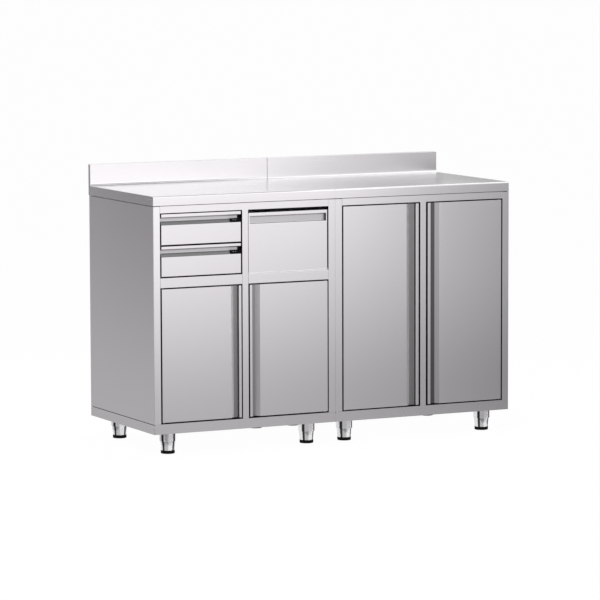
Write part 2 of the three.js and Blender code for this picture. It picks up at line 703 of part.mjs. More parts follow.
// Hopper of the bin, whose sides are rounded so that it clears the top rail as it tilts
function binHopper(x0, x1, pivotY, pivotZ) {
  const hx0 = x0 + HOPPER_SIDE_INSET;
  const hx1 = x1 - HOPPER_SIDE_INSET;
  const insidePlate = FRONTS_BACK - SHEET / 2;
  const rear = FRONTS_BACK + HOPPER_DEPTH;
  const bottom = BIN_BOTTOM + SHEET + FIT + HOPPER_RIM_DROP;
  const top = BIN_TOP - SHEET - FIT - HOPPER_RIM_DROP;
  const reach = Math.hypot(insidePlate - pivotY, top - pivotZ);
  const startAngle = Math.acos((rear - pivotY) / reach);
  const endAngle = Math.acos((insidePlate - pivotY) / reach);
  const rim = [];
  for (let step = 0; step <= HOPPER_ARC_STEPS; step += 1) {
    const angle = startAngle + (endAngle - startAngle) * step / HOPPER_ARC_STEPS;
    rim.push([pivotY + reach * Math.cos(angle), pivotZ + reach * Math.sin(angle)]);
  }
  const whole = prismX([[insidePlate, bottom], [rear, bottom], ...rim], hx0, hx1);
  const inside = block(
    [hx0 + SHEET, FRONTS_BACK + SHEET, bottom + SHEET],
    [hx1 - SHEET, rear - SHEET, BIN_TOP],
  );
  return join(whole.subtract(inside), frontPlate(x0, x1, BIN_BOTTOM, BIN_TOP));
}

function binPivot() {
  return { y: FRONT + BIN_PIVOT_INSET, z: BIN_BOTTOM + BIN_PIVOT_INSET };
}

function binRod(bay, radius) {
  const pivot = binPivot();
  const past = SHEET + ROD_END;
  return rodX(radius, bay.x0 - past, bay.x1 + past, pivot.y, pivot.z);
}

function addBin(parent, bay) {
  const x0 = bay.x0 + FRONT_SIDE_GAP;
  const x1 = bay.x1 - FRONT_SIDE_GAP;
  const pivot = binPivot();
  const grip = { lip: BIN_LIP, flat: BIN_GRIP_FLAT, slope: 0, end: BIN_CHANNEL_END };
  const group = addGroup(parent);
  const front = channelFront(x0, x1, BIN_BOTTOM, BIN_TOP, grip, BIN_PIVOT_INSET);
  addMesh(group, 'bin_front', front.subtract(binRod(bay, BIN_ROD_RADIUS + ROD_CLEARANCE)), brushedSteel());
  addMesh(group, 'bin_hopper', binHopper(x0, x1, pivot.y, pivot.z), brushedSteel());
  addMesh(group, 'bin_pivot_rod', binRod(bay, BIN_ROD_RADIUS), galvanisedSteel());
}

// Legs, built on their own axis with the floor at zero
function legSleeve() {
  const top = FLOOR_TOP - SHEET - FIT;
  const bottom = CABINET_BOTTOM - SLEEVE_DROP;
  const bore = SLEEVE_RADIUS - SLEEVE_WALL;
  return turned([
    [0, top - SLEEVE_FLANGE],
    [bore, top - SLEEVE_FLANGE],
    [bore, bottom],
    [SLEEVE_RADIUS, bottom],
    [SLEEVE_RADIUS, top - SLEEVE_FLANGE],
    [SLEEVE_FLANGE_RADIUS, top - SLEEVE_FLANGE],
    [SLEEVE_FLANGE_RADIUS, top],
    [0, top],
  ]);
}

function legFoot() {
  const sleeveBottom = CABINET_BOTTOM - SLEEVE_DROP;
  const topRadius = SLEEVE_RADIUS - SLEEVE_WALL - FOOT_CLEARANCE;
  return turned([
    [0, 0],
    [PAD_RADIUS - PAD_CHAMFER, 0],
    [PAD_RADIUS, PAD_CHAMFER],
    [PAD_RADIUS, PAD_HEIGHT],
    [FOOT_BOTTOM_RADIUS, PAD_HEIGHT],
    [topRadius, sleeveBottom],
    [topRadius, sleeveBottom + FOOT_ENGAGED],
    [0, sleeveBottom + FOOT_ENGAGED],
  ]);
}

function addLegs(parent, name, cabinet, outerFirst) {
  const across = outerFirst ? ['outer', 'inner'] : ['inner', 'outer'];
  const [leftInset, rightInset] = LEG_SIDE_INSETS[name];
  const xs = [cabinet.x0 + leftInset, cabinet.x1 - rightInset];
  const ys = [FRONT + LEG_FRONT_INSET, REAR - LEG_REAR_INSET];
  ['front', 'rear'].forEach((row, j) => {
    across.forEach((column, i) => {
      const group = addGroup(parent, xs[i], ys[j]);
      addMesh(group, `${name}_${row}_${column}_leg_sleeve`, legSleeve(), polishedSteel());
      addMesh(group, `${name}_${row}_${column}_leg_foot`, legFoot(), polishedSteel());
    });
  });
}

// Left cabinet: drawers and bin over a cupboard
const station = new THREE.Group();
const ROD_BOTTOM = FLOOR_TOP - SHEET - ROD_END;
const BAY_HANDS = [['left', 'lowBay', 1], ['right', 'highBay', -1]];

function rodPlacesOf(cabinet) {
  return BAY_HANDS.map(([, bay, hand]) => doorPivotX(cabinet[bay], hand));
}

function addDoorPair(parent, name, cabinet, z1, railBottom, grip) {
  const rodTop = railBottom + SHEET + ROD_END;
  for (const [side, bay, hand] of BAY_HANDS) {
    const doorName = `${name}_${side}_door`;
    addDoor(parent, doorName, cabinet[bay], hand, SKIRT_TOP + FRONT_GAP, z1, ROD_BOTTOM, rodTop, grip);
  }
}

const leftCabinet = addGroup(station);
const leftInnerSide = sidePanel(LEFT, -1).subtract(binRod(LEFT.highBay, BIN_ROD_RADIUS + ROD_CLEARANCE));
const leftFrame = frontFrame(LEFT).subtract(binRod(LEFT.highBay, BIN_ROD_RADIUS + ROD_CLEARANCE));
addMesh(leftCabinet, 'left_worktop', worktop(LEFT), brushedSteel());
addMesh(leftCabinet, 'left_outer_side', sidePanel(LEFT, 1), brushedSteel());
addMesh(leftCabinet, 'left_inner_side', leftInnerSide, brushedSteel());
addMesh(leftCabinet, 'left_back', backPanel(LEFT), brushedSteel());
addMesh(leftCabinet, 'left_floor_pan', floorPan(LEFT, rodPlacesOf(LEFT)), brushedSteel());
addMesh(leftCabinet, 'left_front_frame', leftFrame, brushedSteel());
addMesh(leftCabinet, 'drawer_deck', drawerDeck(LEFT, rodPlacesOf(LEFT)), brushedSteel());
addMesh(leftCabinet, 'bay_divider', bayDivider(LEFT), brushedSteel());
addDrawer(leftCabinet, 'lower_drawer', LEFT, DECK_TOP + FRONT_GAP);
addDrawer(leftCabinet, 'upper_drawer', LEFT, DECK_TOP + 2 * FRONT_GAP + DRAWER_FRONT_HEIGHT);
addBin(leftCabinet, LEFT.highBay);
const lowGrip = { lip: LOW_DOOR_LIP, flat: LOW_DOOR_GRIP_FLAT, slope: LOW_DOOR_GRIP_SLOPE };
addDoorPair(leftCabinet, 'low', LEFT, MID_RAIL_BOTTOM - FRONT_GAP, MID_RAIL_BOTTOM, lowGrip);
addLegs(leftCabinet, 'left', LEFT, true);

// Right cabinet: tall cupboard with one shelf
const rightCabinet = addGroup(station);
const rightFrame = withRodHoles(
  frontFrame(RIGHT),
  rodPlacesOf(RIGHT),
  TOP_RAIL_BOTTOM - FIT,
  TOP_RAIL_BOTTOM + SHEET + ROD_END,
);
addMesh(rightCabinet, 'right_worktop', worktop(RIGHT), brushedSteel());
addMesh(rightCabinet, 'right_inner_side', sidePanel(RIGHT, 1), brushedSteel());
addMesh(rightCabinet, 'right_outer_side', sidePanel(RIGHT, -1), brushedSteel());
addMesh(rightCabinet, 'right_back', backPanel(RIGHT), brushedSteel());
addMesh(rightCabinet, 'right_floor_pan', floorPan(RIGHT, rodPlacesOf(RIGHT)), brushedSteel());
addMesh(rightCabinet, 'right_front_frame', rightFrame, brushedSteel());
addMesh(rightCabinet, 'cupboard_shelf', cupboardShelf(RIGHT), brushedSteel());
const tallGrip = { lip: TALL_DOOR_LIP, flat: TALL_DOOR_GRIP_FLAT, slope: TALL_DOOR_GRIP_SLOPE };
addDoorPair(rightCabinet, 'tall', RIGHT, TOP_RAIL_BOTTOM - FRONT_GAP, TOP_RAIL_BOTTOM, tallGrip);
addLegs(rightCabinet, 'right', RIGHT, false);

export default station;
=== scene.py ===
"""Looks of a stainless steel waiter service station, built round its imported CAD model.

Two cabinets stand side by side: drawers and a tilting bin over a cupboard on the left, a tall
cupboard on the right. Metres, +Z up, the front faces -Y.
"""

import math
from collections import namedtuple

import bmesh
import bpy
from mathutils import Matrix, Vector


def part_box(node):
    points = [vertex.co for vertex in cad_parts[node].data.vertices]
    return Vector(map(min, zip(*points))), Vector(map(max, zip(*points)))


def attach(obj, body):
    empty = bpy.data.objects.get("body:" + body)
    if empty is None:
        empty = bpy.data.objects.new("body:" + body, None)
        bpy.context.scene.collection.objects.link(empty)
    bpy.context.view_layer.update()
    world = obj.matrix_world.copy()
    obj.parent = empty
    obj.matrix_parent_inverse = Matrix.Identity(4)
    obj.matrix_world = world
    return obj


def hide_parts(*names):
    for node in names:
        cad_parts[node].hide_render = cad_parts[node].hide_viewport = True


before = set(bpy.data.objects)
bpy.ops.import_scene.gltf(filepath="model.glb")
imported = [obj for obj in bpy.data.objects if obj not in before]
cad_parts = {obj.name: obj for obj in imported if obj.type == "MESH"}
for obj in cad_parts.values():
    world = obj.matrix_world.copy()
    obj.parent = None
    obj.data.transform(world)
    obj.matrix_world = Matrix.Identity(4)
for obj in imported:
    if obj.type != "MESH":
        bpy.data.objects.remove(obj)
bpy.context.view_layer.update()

MM = 0.001
X, Y, Z = range(3)

# Sheet metal, as in the CAD model
SHEET = 1.2 * MM
FIT = 0.3 * MM
SPLASH_HEIGHT = 82 * MM
SPLASH_THICKNESS = 16 * MM
STILE_WIDTH = 28 * MM
STILE_RETURN = 20 * MM
MULLION_WIDTH = 25 * MM
TOP_RAIL = 26.5 * MM
RAIL_RETURN = 25 * MM
MID_RAIL = 37 * MM
FLOOR_LIP = 2.5 * MM
FRONT_THICKNESS = 18 * MM
FACE_THICKNESS = FRONT_THICKNESS - SHEET - FIT
GRIP_DEPTH = 12 * MM

# Places of the frame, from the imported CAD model
worktop_low, worktop_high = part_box("left_worktop")
back_low, back_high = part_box("left_back")
pan_low, pan_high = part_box("left_floor_pan")
FRONT = worktop_low.y
REAR = worktop_high.y
FRONTS_BACK = FRONT + FRONT_THICKNESS
WORKTOP_BOTTOM = worktop_low.z
SPLASH_TOP = worktop_high.z
WORKTOP_TOP = SPLASH_TOP - SPLASH_HEIGHT
SPLASH_FRONT = REAR - SPLASH_THICKNESS
CABINET_TOP = back_high.z
CABINET_BOTTOM = pan_low.z
SKIRT_TOP = pan_high.z
FLOOR_TOP = SKIRT_TOP - FLOOR_LIP
SIDE_REAR = back_low.y
CABINET_REAR = back_high.y
TOP_RAIL_BOTTOM = CABINET_TOP - TOP_RAIL
DECK_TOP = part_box("drawer_deck")[1].z
MID_RAIL_BOTTOM = DECK_TOP - MID_RAIL

# Finger channels: lip, flat bottom and sloping side, then the bends at the face, the slope's foot
# and the lip, and how far the channel's closed ends are from the ends of the front
Grip = namedtuple("Grip", "lip flat slope face_bend foot_bend lip_bend end")


def grip_in_mm(end=0, **sizes):
    return Grip(end=end * MM, **{name: size * MM for name, size in sizes.items()})


DRAWER_GRIP = grip_in_mm(lip=12.5, flat=14.5, slope=15, face_bend=1.5, foot_bend=3, lip_bend=5.5)
BIN_GRIP = grip_in_mm(lip=13, flat=28, slope=0, face_bend=2, foot_bend=3, lip_bend=5, end=5)
LOW_DOOR_GRIP = grip_in_mm(lip=11, flat=18, slope=14, face_bend=5, foot_bend=4, lip_bend=5)
TALL_DOOR_GRIP = grip_in_mm(lip=13, flat=23, slope=16, face_bend=5, foot_bend=4, lip_bend=5)

# What the faces leave free at the bottom and the top of their CAD nodes, for gaps of the right width
LOW_DOOR_TRIM = (2.2 * MM, 1.7 * MM)
TALL_DOOR_TRIM = (1.5 * MM, 1.3 * MM)
UPPER_DRAWER_TRIM = (0.4 * MM, 0)
LOWER_DRAWER_TRIM = (1.2 * MM, 1.5 * MM)
LOWER_DRAWER_GRIP = DRAWER_GRIP._replace(lip=DRAWER_GRIP.lip - LOWER_DRAWER_TRIM[1])

# The same at the left and the right of the doors; less than nothing makes a gap narrower
DOOR_SIDE_TRIMS = {
    "low_left_door": (0, -1.5 * MM),
    "low_right_door": (0, -1.5 * MM),
    "tall_left_door": (0, 1 * MM),
    "tall_right_door": (2.2 * MM, 0),
}
BIN_REACH = 4 * MM

# Bends, rounded edges and seams, which only the looks have
FRONT_BEND = 6 * MM
COVE = 10 * MM
SPLASH_BEND = 2.4 * MM
WORKTOP_EDGE = 1.6 * MM
WORKTOP_FOOT_EDGE = 1.2 * WORKTOP_EDGE
SEAM_EDGE = 0.15 * MM
STILE_SEAM = 0.3 * MM
SIDE_SEAM = 1 * MM
FOOT_SEAM = 2.4 * MM
STILE_SEAM_BEND = 0.4 * MM
CORNER_BEND = 2.6 * MM
FRAME_BEND = 0.9 * MM
FACE_BEND = 1.6 * MM
BIN_HEM = 3.6 * MM
LIP_EDGE = 1.5 * MM
FACE_EDGE = 1 * MM
PLATE_EDGE = 0.3 * MM
SLAB_END_SHARE = 0.9
BEND_STEPS = 6
EDGE_STEPS = 4
SMOOTH_ANGLE = math.radians(32)
FLAT_ANGLE = math.radians(1)
WELD_DISTANCE = 0.001 * MM

# Gap between two closed bodies of one piece
HAIR = 0.02 * MM

# Strip in the joint of the worktops: the shares of the bends that it leaves free
JOINT_LIP_SHARE = 0.6
JOINT_TOP_SHARE = 0.7
JOINT_REACH = 5 * MM

# Camera, found from the photograph's edges
LENS = 217.8
SENSOR = 36
CAMERA_PLACE = Vector((-6.167, -12.418, 2.033))
CAMERA_YAW = math.radians(26.41)
CAMERA_PITCH = math.radians(6.23)
CAMERA_ROLL = math.radians(-0.17)

# Legs
LEG_PLACES = ("front_outer", "front_inner", "rear_outer", "rear_inner")
LEG_SIDES = 64
AXIS_RADIUS = 0.1 * MM
# Painted reflection bands on the polished legs: how many, where they start, and how far they are
# turned on each leg
BANDS = 4
BAND_START = math.radians(-116)
BAND_TURN = math.radians(21)
OUTER_LEFT_BAND_TURN = math.radians(8)
SLEEVE_RADIUS = 31.5 * MM
SLEEVE_WALL = 2.5 * MM
SLEEVE_FLANGE = 3 * MM
SLEEVE_FLANGE_RADIUS = 45 * MM
SLEEVE_RIM = 0.8 * MM
SLEEVE_RIM_CUT = 0.3 * SLEEVE_RIM
FOOT_TOP_RADIUS = 28.2 * MM
FOOT_BOTTOM_RADIUS = 25 * MM
FOOT_TOP_EDGE = 1 * MM
FOOT_BOTTOM_EDGE = 0.5 * MM
PAD_RADIUS = 26.3 * MM
PAD_HEIGHT = 12 * MM
PAD_BOTTOM_EDGE = 1.5 * MM
PAD_TOP_EDGE = 0.8 * MM
PAD_GROOVE = (3.6 * MM, 5.6 * MM)
PAD_GROOVE_DEPTH = 0.6 * MM

# Heads of the fasteners, as high in front of their spots as behind them
Head = namedtuple("Head", "radius height")
RIVET = Head(3 * MM, 1.2 * MM)
LEG_BOLT = Head(4 * MM, 2.6 * MM)
SHELF_PIN = Head(4 * MM, 5.5 * MM)
LATCH_PIN = Head(1.6 * MM, 0.5 * MM)
CATCH_SCREW = Head(2.4 * MM, 1 * MM)

# Small parts
RIVET_INSET = 10 * MM
RIVET_END = 40 * MM
RIVET_ROWS = 7
TRAY_SIDE = 9 * MM
TRAY_SIDE_SHARES = (0.12, 0.5, 0.88)
TRAY_FRONT_SHARES = (0.2, 0.8)
TRAY_RIVET_RISE = 15 * MM
SHELF_PIN_INSET = 60 * MM
LATCH_PIN_INSET = 22 * MM
LATCH_PIN_STEP = 9 * MM
LATCH_PIN_SHARE = 0.55
WASHER_RADIUS = 7 * MM
CATCH_INSET = 60 * MM
CATCH_WIDTH = 46 * MM
CATCH_DEPTH = 13 * MM
CATCH_HEIGHT = 14 * MM
CATCH_EDGE = 1.2 * MM
CATCH_GAP = 0.9 * MM
CATCH_RAIL_GAP = 0.2 * MM
CATCH_SCREW_REACH = 0.32 * CATCH_WIDTH
STRIKE_WIDTH = 0.8 * CATCH_WIDTH
STRIKE_THICKNESS = 0.6 * MM
STRIKE_INSET = 4 * MM


# Shader maths


def add_node(tree, kind, settings=None, inputs=None):
    """Adds a node to a tree; its inputs take plain values, sockets or Values."""
    made = tree.nodes.new(kind)
    for name, value in (settings or {}).items():
        setattr(made, name, value)
    for key, value in (inputs or {}).items():
        if isinstance(value, Value):
            value = value.socket
        if isinstance(value, bpy.types.NodeSocket):
            tree.links.new(value, made.inputs[key])
        else:
            made.inputs[key].default_value = value
    return made


def in_order(operation):
    return lambda self, other=0: self._math(operation, self, other)


def swapped(operation):
    return lambda self, other: self._math(operation, other, self)


class Value:
    """A shader socket that takes part in Python expressions through Math nodes."""

    __add__ = in_order("ADD")
    __sub__ = in_order("SUBTRACT")
    __mul__ = in_order("MULTIPLY")
    __truediv__ = in_order("DIVIDE")
    __radd__ = swapped("ADD")
    __rsub__ = swapped("SUBTRACT")
    __rmul__ = swapped("MULTIPLY")
    __rtruediv__ = swapped("DIVIDE")
    __rpow__ = swapped("POWER")
    at_most = in_order("MINIMUM")
    at_least = in_order("MAXIMUM")
    angle_from = in_order("ARCTAN2")
    cosine = in_order("COSINE")

    def __init__(self, finish, socket):
        self.finish = finish
        self.socket = socket

    def _math(self, operation, first, second):
        made = self.finish.node("ShaderNodeMath", {"operation": operation}, {0: first, 1: second})
        return Value(self.finish, made.outputs[0])

    def ramp(self, start, end):
        """0 up to the start and 1 from the end on; the end may be the lower one."""
        return ((self - start) / (end - start)).at_least(0).at_most(1)

    def soft_step(self, middle, width):
        """Smooth step from 0 to 1 about the middle; a width below nothing makes it fall."""
        return 1 / (1 + math.e ** ((middle - self) / width))


class Finish:
    """A node tree under construction: a material's or the world's."""

    MIX_INPUTS = (6, 7)
    MIX_RESULT = 2

    def __init__(self, owner):
        owner.use_nodes = True
        self.tree = owner.node_tree
        self.tree.nodes.clear()

    def node(self, kind, settings=None, inputs=None):
        return add_node(self.tree, kind, settings, inputs)

    def place(self):
        return self.node("ShaderNodeTexCoord").outputs["Object"]

    def split(self, vector):
        made = self.node("ShaderNodeSeparateXYZ", inputs={"Vector": vector})
        return [Value(self, made.outputs[axis]) for axis in "XYZ"]

    def axes(self):
        return self.split(self.place())

    def noise(self, per_metre, detail=2, roughness=0.5):
        """Noise with one scale for each axis, or with one number for all three."""
        scales = per_metre if isinstance(per_metre, (list, tuple)) else [per_metre] * 3
        scaled = self.node("ShaderNodeMapping", inputs={"Vector": self.place(), "Scale": scales})
        inputs = {"Vector": scaled.outputs[0], "Scale": 1, "Detail": detail, "Roughness": roughness}
        made = self.node("ShaderNodeTexNoise", inputs=inputs)
        return Value(self, made.outputs["Fac"])

    def tint(self, factor, first, second):
        """Mix of two colours, each three numbers or a socket."""
        inputs = {0: factor}
        for key, end in zip(self.MIX_INPUTS, (first, second)):
            inputs[key] = end if isinstance(end, bpy.types.NodeSocket) else (*end, 1)
        made = self.node("ShaderNodeMix", {"data_type": "RGBA"}, inputs)
        return made.outputs[self.MIX_RESULT]

    def bump(self, height, distance, strength):
        inputs = {"Height": height, "Distance": distance, "Strength": strength}
        made = self.node("ShaderNodeBump", inputs=inputs)
        return made.outputs["Normal"]

    def background_ray(self):
        """1 for the rays that show the background: to the camera, mirrored or through glass."""
        path = self.node("ShaderNodeLightPath")
        rays = ("Is Camera Ray", "Is Glossy Ray", "Is Transmission Ray")
        seen = [Value(self, path.outputs[name]) for name in rays]
        return (seen[0] + seen[1] + seen[2]).at_most(1)

    def emission(self, colour, strength):
        made = self.node("ShaderNodeEmission", inputs={"Color": colour, "Strength": strength})
        return made.outputs["Emission"]

    def surface(self, shader):
        output = self.node("ShaderNodeOutputMaterial")
        self.tree.links.new(shader, output.inputs["Surface"])

    def principled(self, inputs):
        shader = self.node("ShaderNodeBsdfPrincipled", inputs=inputs)
        self.surface(shader.outputs["BSDF"])


def material(name):
    """A new material and its finish, for pieces in the given slot."""
    made = bpy.data.materials.new(name)
    return made, Finish(made)


# Finishes; the grain's scales are per metre, across the grain and along it

FINE_GRAIN = (700.0, 5.0)
BROAD_GRAIN = (70.0, 0.8)
CLOUD_SCALE = 3.1
WIPE_SCALE = 14.0
STREAK_DEPTH = 0.97
STREAK_ROUGHNESS = 0.02
CLOUD_ROUGHNESS = 0.01
GRAIN_HEIGHT = 0.02 * MM
# Depth in a finger channel where its painted shade begins
CHANNEL_SHADE_START = 1.5 * MM

# Where a painted highlight gives the worktop, the splash and the worktop's front edge the bright tone
HIGHLIGHT_TONE = 0.97
COVE_START = SPLASH_FRONT - 70 * MM
COVE_HIGHLIGHT_REACH = 270 * MM
COVE_FADE = 600 * MM
SPLASH_FADE = (-270 * MM, 180 * MM)
SPLASH_RISE = 65 * MM
SPLASH_LEAST = 0.3


def grey(level):
    return (level, level, level)


def grain_scales(axis, scales):
    across, along = scales
    made = [across] * 3
    made[axis] = along
    return made


def cove_glow(finish):
    """Painted highlight: more towards a worktop's cove, and less at the left-hand end."""
    x, y, _ = finish.axes()
    return y.ramp(COVE_START - COVE_HIGHLIGHT_REACH, COVE_START) * x.ramp(-COVE_FADE, 0)


# Painted highlight along the worktop's front edge, growing towards the right
def edge_glow(finish):
    return finish.axes()[X].ramp(*SPLASH_FADE)


def splash_glow(finish):
    """Painted highlight: more towards the right and the top of a splash."""
    rise = (finish.axes()[Z] - WORKTOP_TOP) / SPLASH_RISE
    return edge_glow(finish) * rise.at_least(SPLASH_LEAST).at_most(1)


def brushed_steel(name, grain, tone, roughness, channel=1, dullness=0, sheen=1.0, glow=None):
    """Stainless steel brushed along one axis; a lower sheen makes it look more matt.

    Towards the bottom of a finger channel the tone is darkened as painted shade: channel is the
    share of the tone that is left there, and dullness is what the roughness gains. A glow takes
    the finish and gives the share of the bright tone, painted in as a highlight.
    """
    made, finish = material(name)
    fine = finish.noise(grain_scales(grain, FINE_GRAIN), detail=3)
    broad = finish.noise(grain_scales(grain, BROAD_GRAIN), detail=2)
    cloud = finish.noise(CLOUD_SCALE, detail=3)
    wiped = finish.noise(WIPE_SCALE, detail=4, roughness=0.6)
    streak = fine * 0.6 + broad * 0.4
    brushed = finish.tint(streak * 0.7 + cloud * 0.3, grey(tone * STREAK_DEPTH), grey(tone))
    # Painted highlight: the tone is lifted towards the bright tone by the glow's share
    if glow:
        brushed = finish.tint(glow(finish), brushed, grey(HIGHLIGHT_TONE))
    rough = roughness + STREAK_ROUGHNESS * (streak - 1) + CLOUD_ROUGHNESS * (wiped + cloud)
    # Painted shade: the tone falls towards the bottom of a finger channel
    if channel < 1:
        painted_channel_shade = finish.axes()[Y].ramp(FRONT + CHANNEL_SHADE_START, FRONT + GRIP_DEPTH)
        brushed = finish.tint(painted_channel_shade, brushed, grey(tone * channel))
        rough = rough + painted_channel_shade * dullness
    finish.principled({
        "Base Color": brushed,
        "Metallic": sheen,
        "Roughness": rough,
        "Normal": finish.bump(fine, GRAIN_HEIGHT, strength=0.05),
    })
    return made


def zinc_steel():
    """Zinc plated steel with a faint spangle."""
    dark = (0.52, 0.53, 0.55)
    light = (0.66, 0.67, 0.69)
    made, finish = material("zinc_plated_steel")
    cells = finish.node("ShaderNodeTexVoronoi", inputs={"Vector": finish.place(), "Scale": 180.0})
    spangle = Value(finish, cells.outputs["Distance"])
    cloud = finish.noise(25.0, detail=3)
    finish.principled({
        "Base Color": finish.tint(spangle * 0.6 + cloud * 0.4, dark, light),
        "Metallic": 1.0,
        "Roughness": 0.3 + spangle * 0.12 + cloud * 0.1,
    })
    return made


def polished_steel_with_painted_reflections(name, tone):
    """Polished turned steel with painted reflections: bright, grey and dark bands at angles from its
    spoke attribute.
    """
    pale = (0.9, 0.9, 0.92)
    bright = (0.97, 0.97, 0.98)
    black = (0.03, 0.03, 0.032)
    grey_lag = 0.35
    # Less metal in the bright bands, so they stay bright under the lamps: part of the painted
    # reflections
    least_metal = 0.5
    made, finish = material(name)
    spoke = finish.node("ShaderNodeAttribute", {"attribute_name": "spoke"})
    x, y, _ = finish.split(spoke.outputs["Vector"])
    angle = y.angle_from(x)
    # Painted reflections: dark lines and grey bands at fixed angles round the leg
    dark_reflection_line = ((angle - BAND_START) * BANDS).cosine().ramp(-0.62, -0.87)
    middle = ((angle - BAND_START + grey_lag) * BANDS).cosine().ramp(0.1, 0.7)
    rings = finish.noise((20.0, 20.0, 1500.0), detail=2)
    cloud = finish.noise(40.0, detail=3)
    greyed = finish.tint(middle, finish.tint(cloud, pale, bright), grey(tone))
    finish.principled({
        "Base Color": finish.tint(dark_reflection_line, greyed, black),
        "Metallic": least_metal + (1 - least_metal) * middle.at_least(dark_reflection_line),
        "Roughness": 0.12 + rings * 0.05 + cloud * 0.06,
        "Normal": finish.bump(rings, GRAIN_HEIGHT, strength=0.2),
    })
    return made


def moulded(name, dark, light, roughness, shine=0.5):
    """Moulded plastic or rubber with a fine spark-eroded grain."""
    made, finish = material(name)
    grain = finish.noise(1600.0, detail=2)
    cloud = finish.noise(60.0, detail=3)
    finish.principled({
        "Base Color": finish.tint(cloud * 0.7 + grain * 0.3, grey(dark), grey(light)),
        "Roughness": roughness - 0.08 + cloud * 0.1 + grain * 0.08,
        "Specular IOR Level": shine,
        "Normal": finish.bump(grain, 0.05 * MM, strength=0.5),
    })
    return made


STEEL_TONE = 0.815
# Darker tone of the worktop's top faces: painted shade
SHADED_TOP_TONE = 0.74
DULL_TONE = 0.66
STEEL_ALONG = brushed_steel("brushed_steel_lengthwise", X, STEEL_TONE, 0.27)
# Copies of the steel with painted light: the worktop's top in painted shade with a painted highlight,
# its front edge and the splash with painted highlights
STEEL_TOP_PAINTED_LIGHT = brushed_steel("brushed_steel_worktop", X, SHADED_TOP_TONE, 0.2, glow=cove_glow)
STEEL_EDGE_PAINTED_LIGHT = brushed_steel("worktop_edge_painted_light", X, SHADED_TOP_TONE, 0.16, glow=edge_glow)
STEEL_SPLASH_PAINTED_LIGHT = brushed_steel("splash_painted_light", X, STEEL_TONE, 0.27, glow=splash_glow)
STEEL_ACROSS = brushed_steel("brushed_steel_front_to_back", Y, STEEL_TONE, 0.27)
STEEL_UPRIGHT = brushed_steel("brushed_steel_upright", Z, STEEL_TONE, 0.3)
# Lighter copy of the upright steel for the left stile's front: a painted highlight
STEEL_STILE_PAINTED_LIGHT = brushed_steel("left_stile_painted_light", Z, 0.87, 0.3)
# Doors, drawers and the bin take painted shade towards the bottoms of their finger channels
STEEL_DOOR = brushed_steel("brushed_steel_door", Z, STEEL_TONE, 0.3, channel=0.4, dullness=0.15)
STEEL_DRAWER = brushed_steel("brushed_steel_drawer", X, STEEL_TONE, 0.28, channel=0.7, dullness=0.15)
# Dark copy of the steel for the drawers' channel slopes: painted shade
STEEL_DRAWER_SLOPE_SHADE = brushed_steel("drawer_slope_painted_shade", X, 0.3, 0.3)
STEEL_BIN = brushed_steel("brushed_steel_bin", X, STEEL_TONE, 0.28, channel=0.7, dullness=0.1)
# Pale, half-matt copy of the steel that lightens the bin's hem and the deck under it: painted light
# in place of their shade
STEEL_BIN_FOOT_LIGHT = brushed_steel("bin_foot_painted_light", X, 0.95, 0.4, sheen=0.3)
# Dark copy of the steel for the walls under the channel lips and for some channel flats: painted
# shade
STEEL_WALL_SHADE = brushed_steel("channel_wall_painted_shade", Z, 0.16, 0.36)
# Very dark copy of the steel: painted shade in gaps, joints and on returns
STEEL_GAP_SHADE = brushed_steel("painted_gap_shade", Z, 0.07, 0.42)
STEEL_INSIDE = brushed_steel("mill_finish_steel", Y, DULL_TONE, 0.38)
STEEL_LINER = brushed_steel("mill_finish_steel_upright", Z, DULL_TONE, 0.38)
# Channel slopes with their own tone and sheen door by door: painted light and shade
DOOR_SLOPES_PAINTED_LIGHT = {
    "low_left_door": brushed_steel("low_left_door_slope_painted_light", Z, 0.8, 0.34, sheen=0.35),
    "low_right_door": brushed_steel("low_right_door_slope_painted_light", Z, 0.74, 0.34),
    "tall_left_door": brushed_steel("tall_left_door_slope_painted_light", Z, 0.6, 0.34, sheen=0.35),
    "tall_right_door": brushed_steel("tall_right_door_slope_painted_light", Z, 0.48, 0.34),
}
# Doors whose channel flats also take the painted shade
SHADED_FLATS = ("tall_right_door",)
ZINC = zinc_steel()
# Legs with painted reflections; the cup's grey band is darker
POLISHED_TUBE = polished_steel_with_painted_reflections("leg_tube_painted_reflections", 0.86)
POLISHED_CUP = polished_steel_with_painted_reflections("leg_cup_painted_reflections", 0.48)
BLACK_PLASTIC = moulded("black_moulded_plastic", 0.002, 0.005, 0.6, shine=0.06)
GREY_PLASTIC = moulded("grey_moulded_plastic", 0.2, 0.3, 0.45)
RUBBER = moulded("black_rubber", 0.002, 0.006, 0.7, shine=0.1)


# Outlines and solids


def bent_outline(points):
    """Outline through points (a, b) or (a, b, radius), with an arc where there is a radius."""
    outline = []
    for i, (a, b, *bend) in enumerate(points):
        corner = Vector((a, b))
        if not bend or not bend[0]:
            outline.append(corner)
            continue
        radius = bend[0]
        before = (Vector(points[i - 1][:2]) - corner).normalized()
        after = (Vector(points[(i + 1) % len(points)][:2]) - corner).normalized()
        half = before.angle(after) / 2
        centre = corner + (before + after).normalized() * radius / math.sin(half)
        start = corner + before * radius / math.tan(half) - centre
        end = corner + after * radius / math.tan(half) - centre
        sweep = math.atan2(start.cross(end), start.dot(end))
        for step in range(BEND_STEPS + 1):
            outline.append(centre + Matrix.Rotation(sweep * step / BEND_STEPS, 2) @ start)
    return outline


def anticlockwise(outline):
    area = sum(a.cross(b) for a, b in zip(outline, outline[1:] + outline[:1]))
    return outline if area > 0 else outline[::-1]


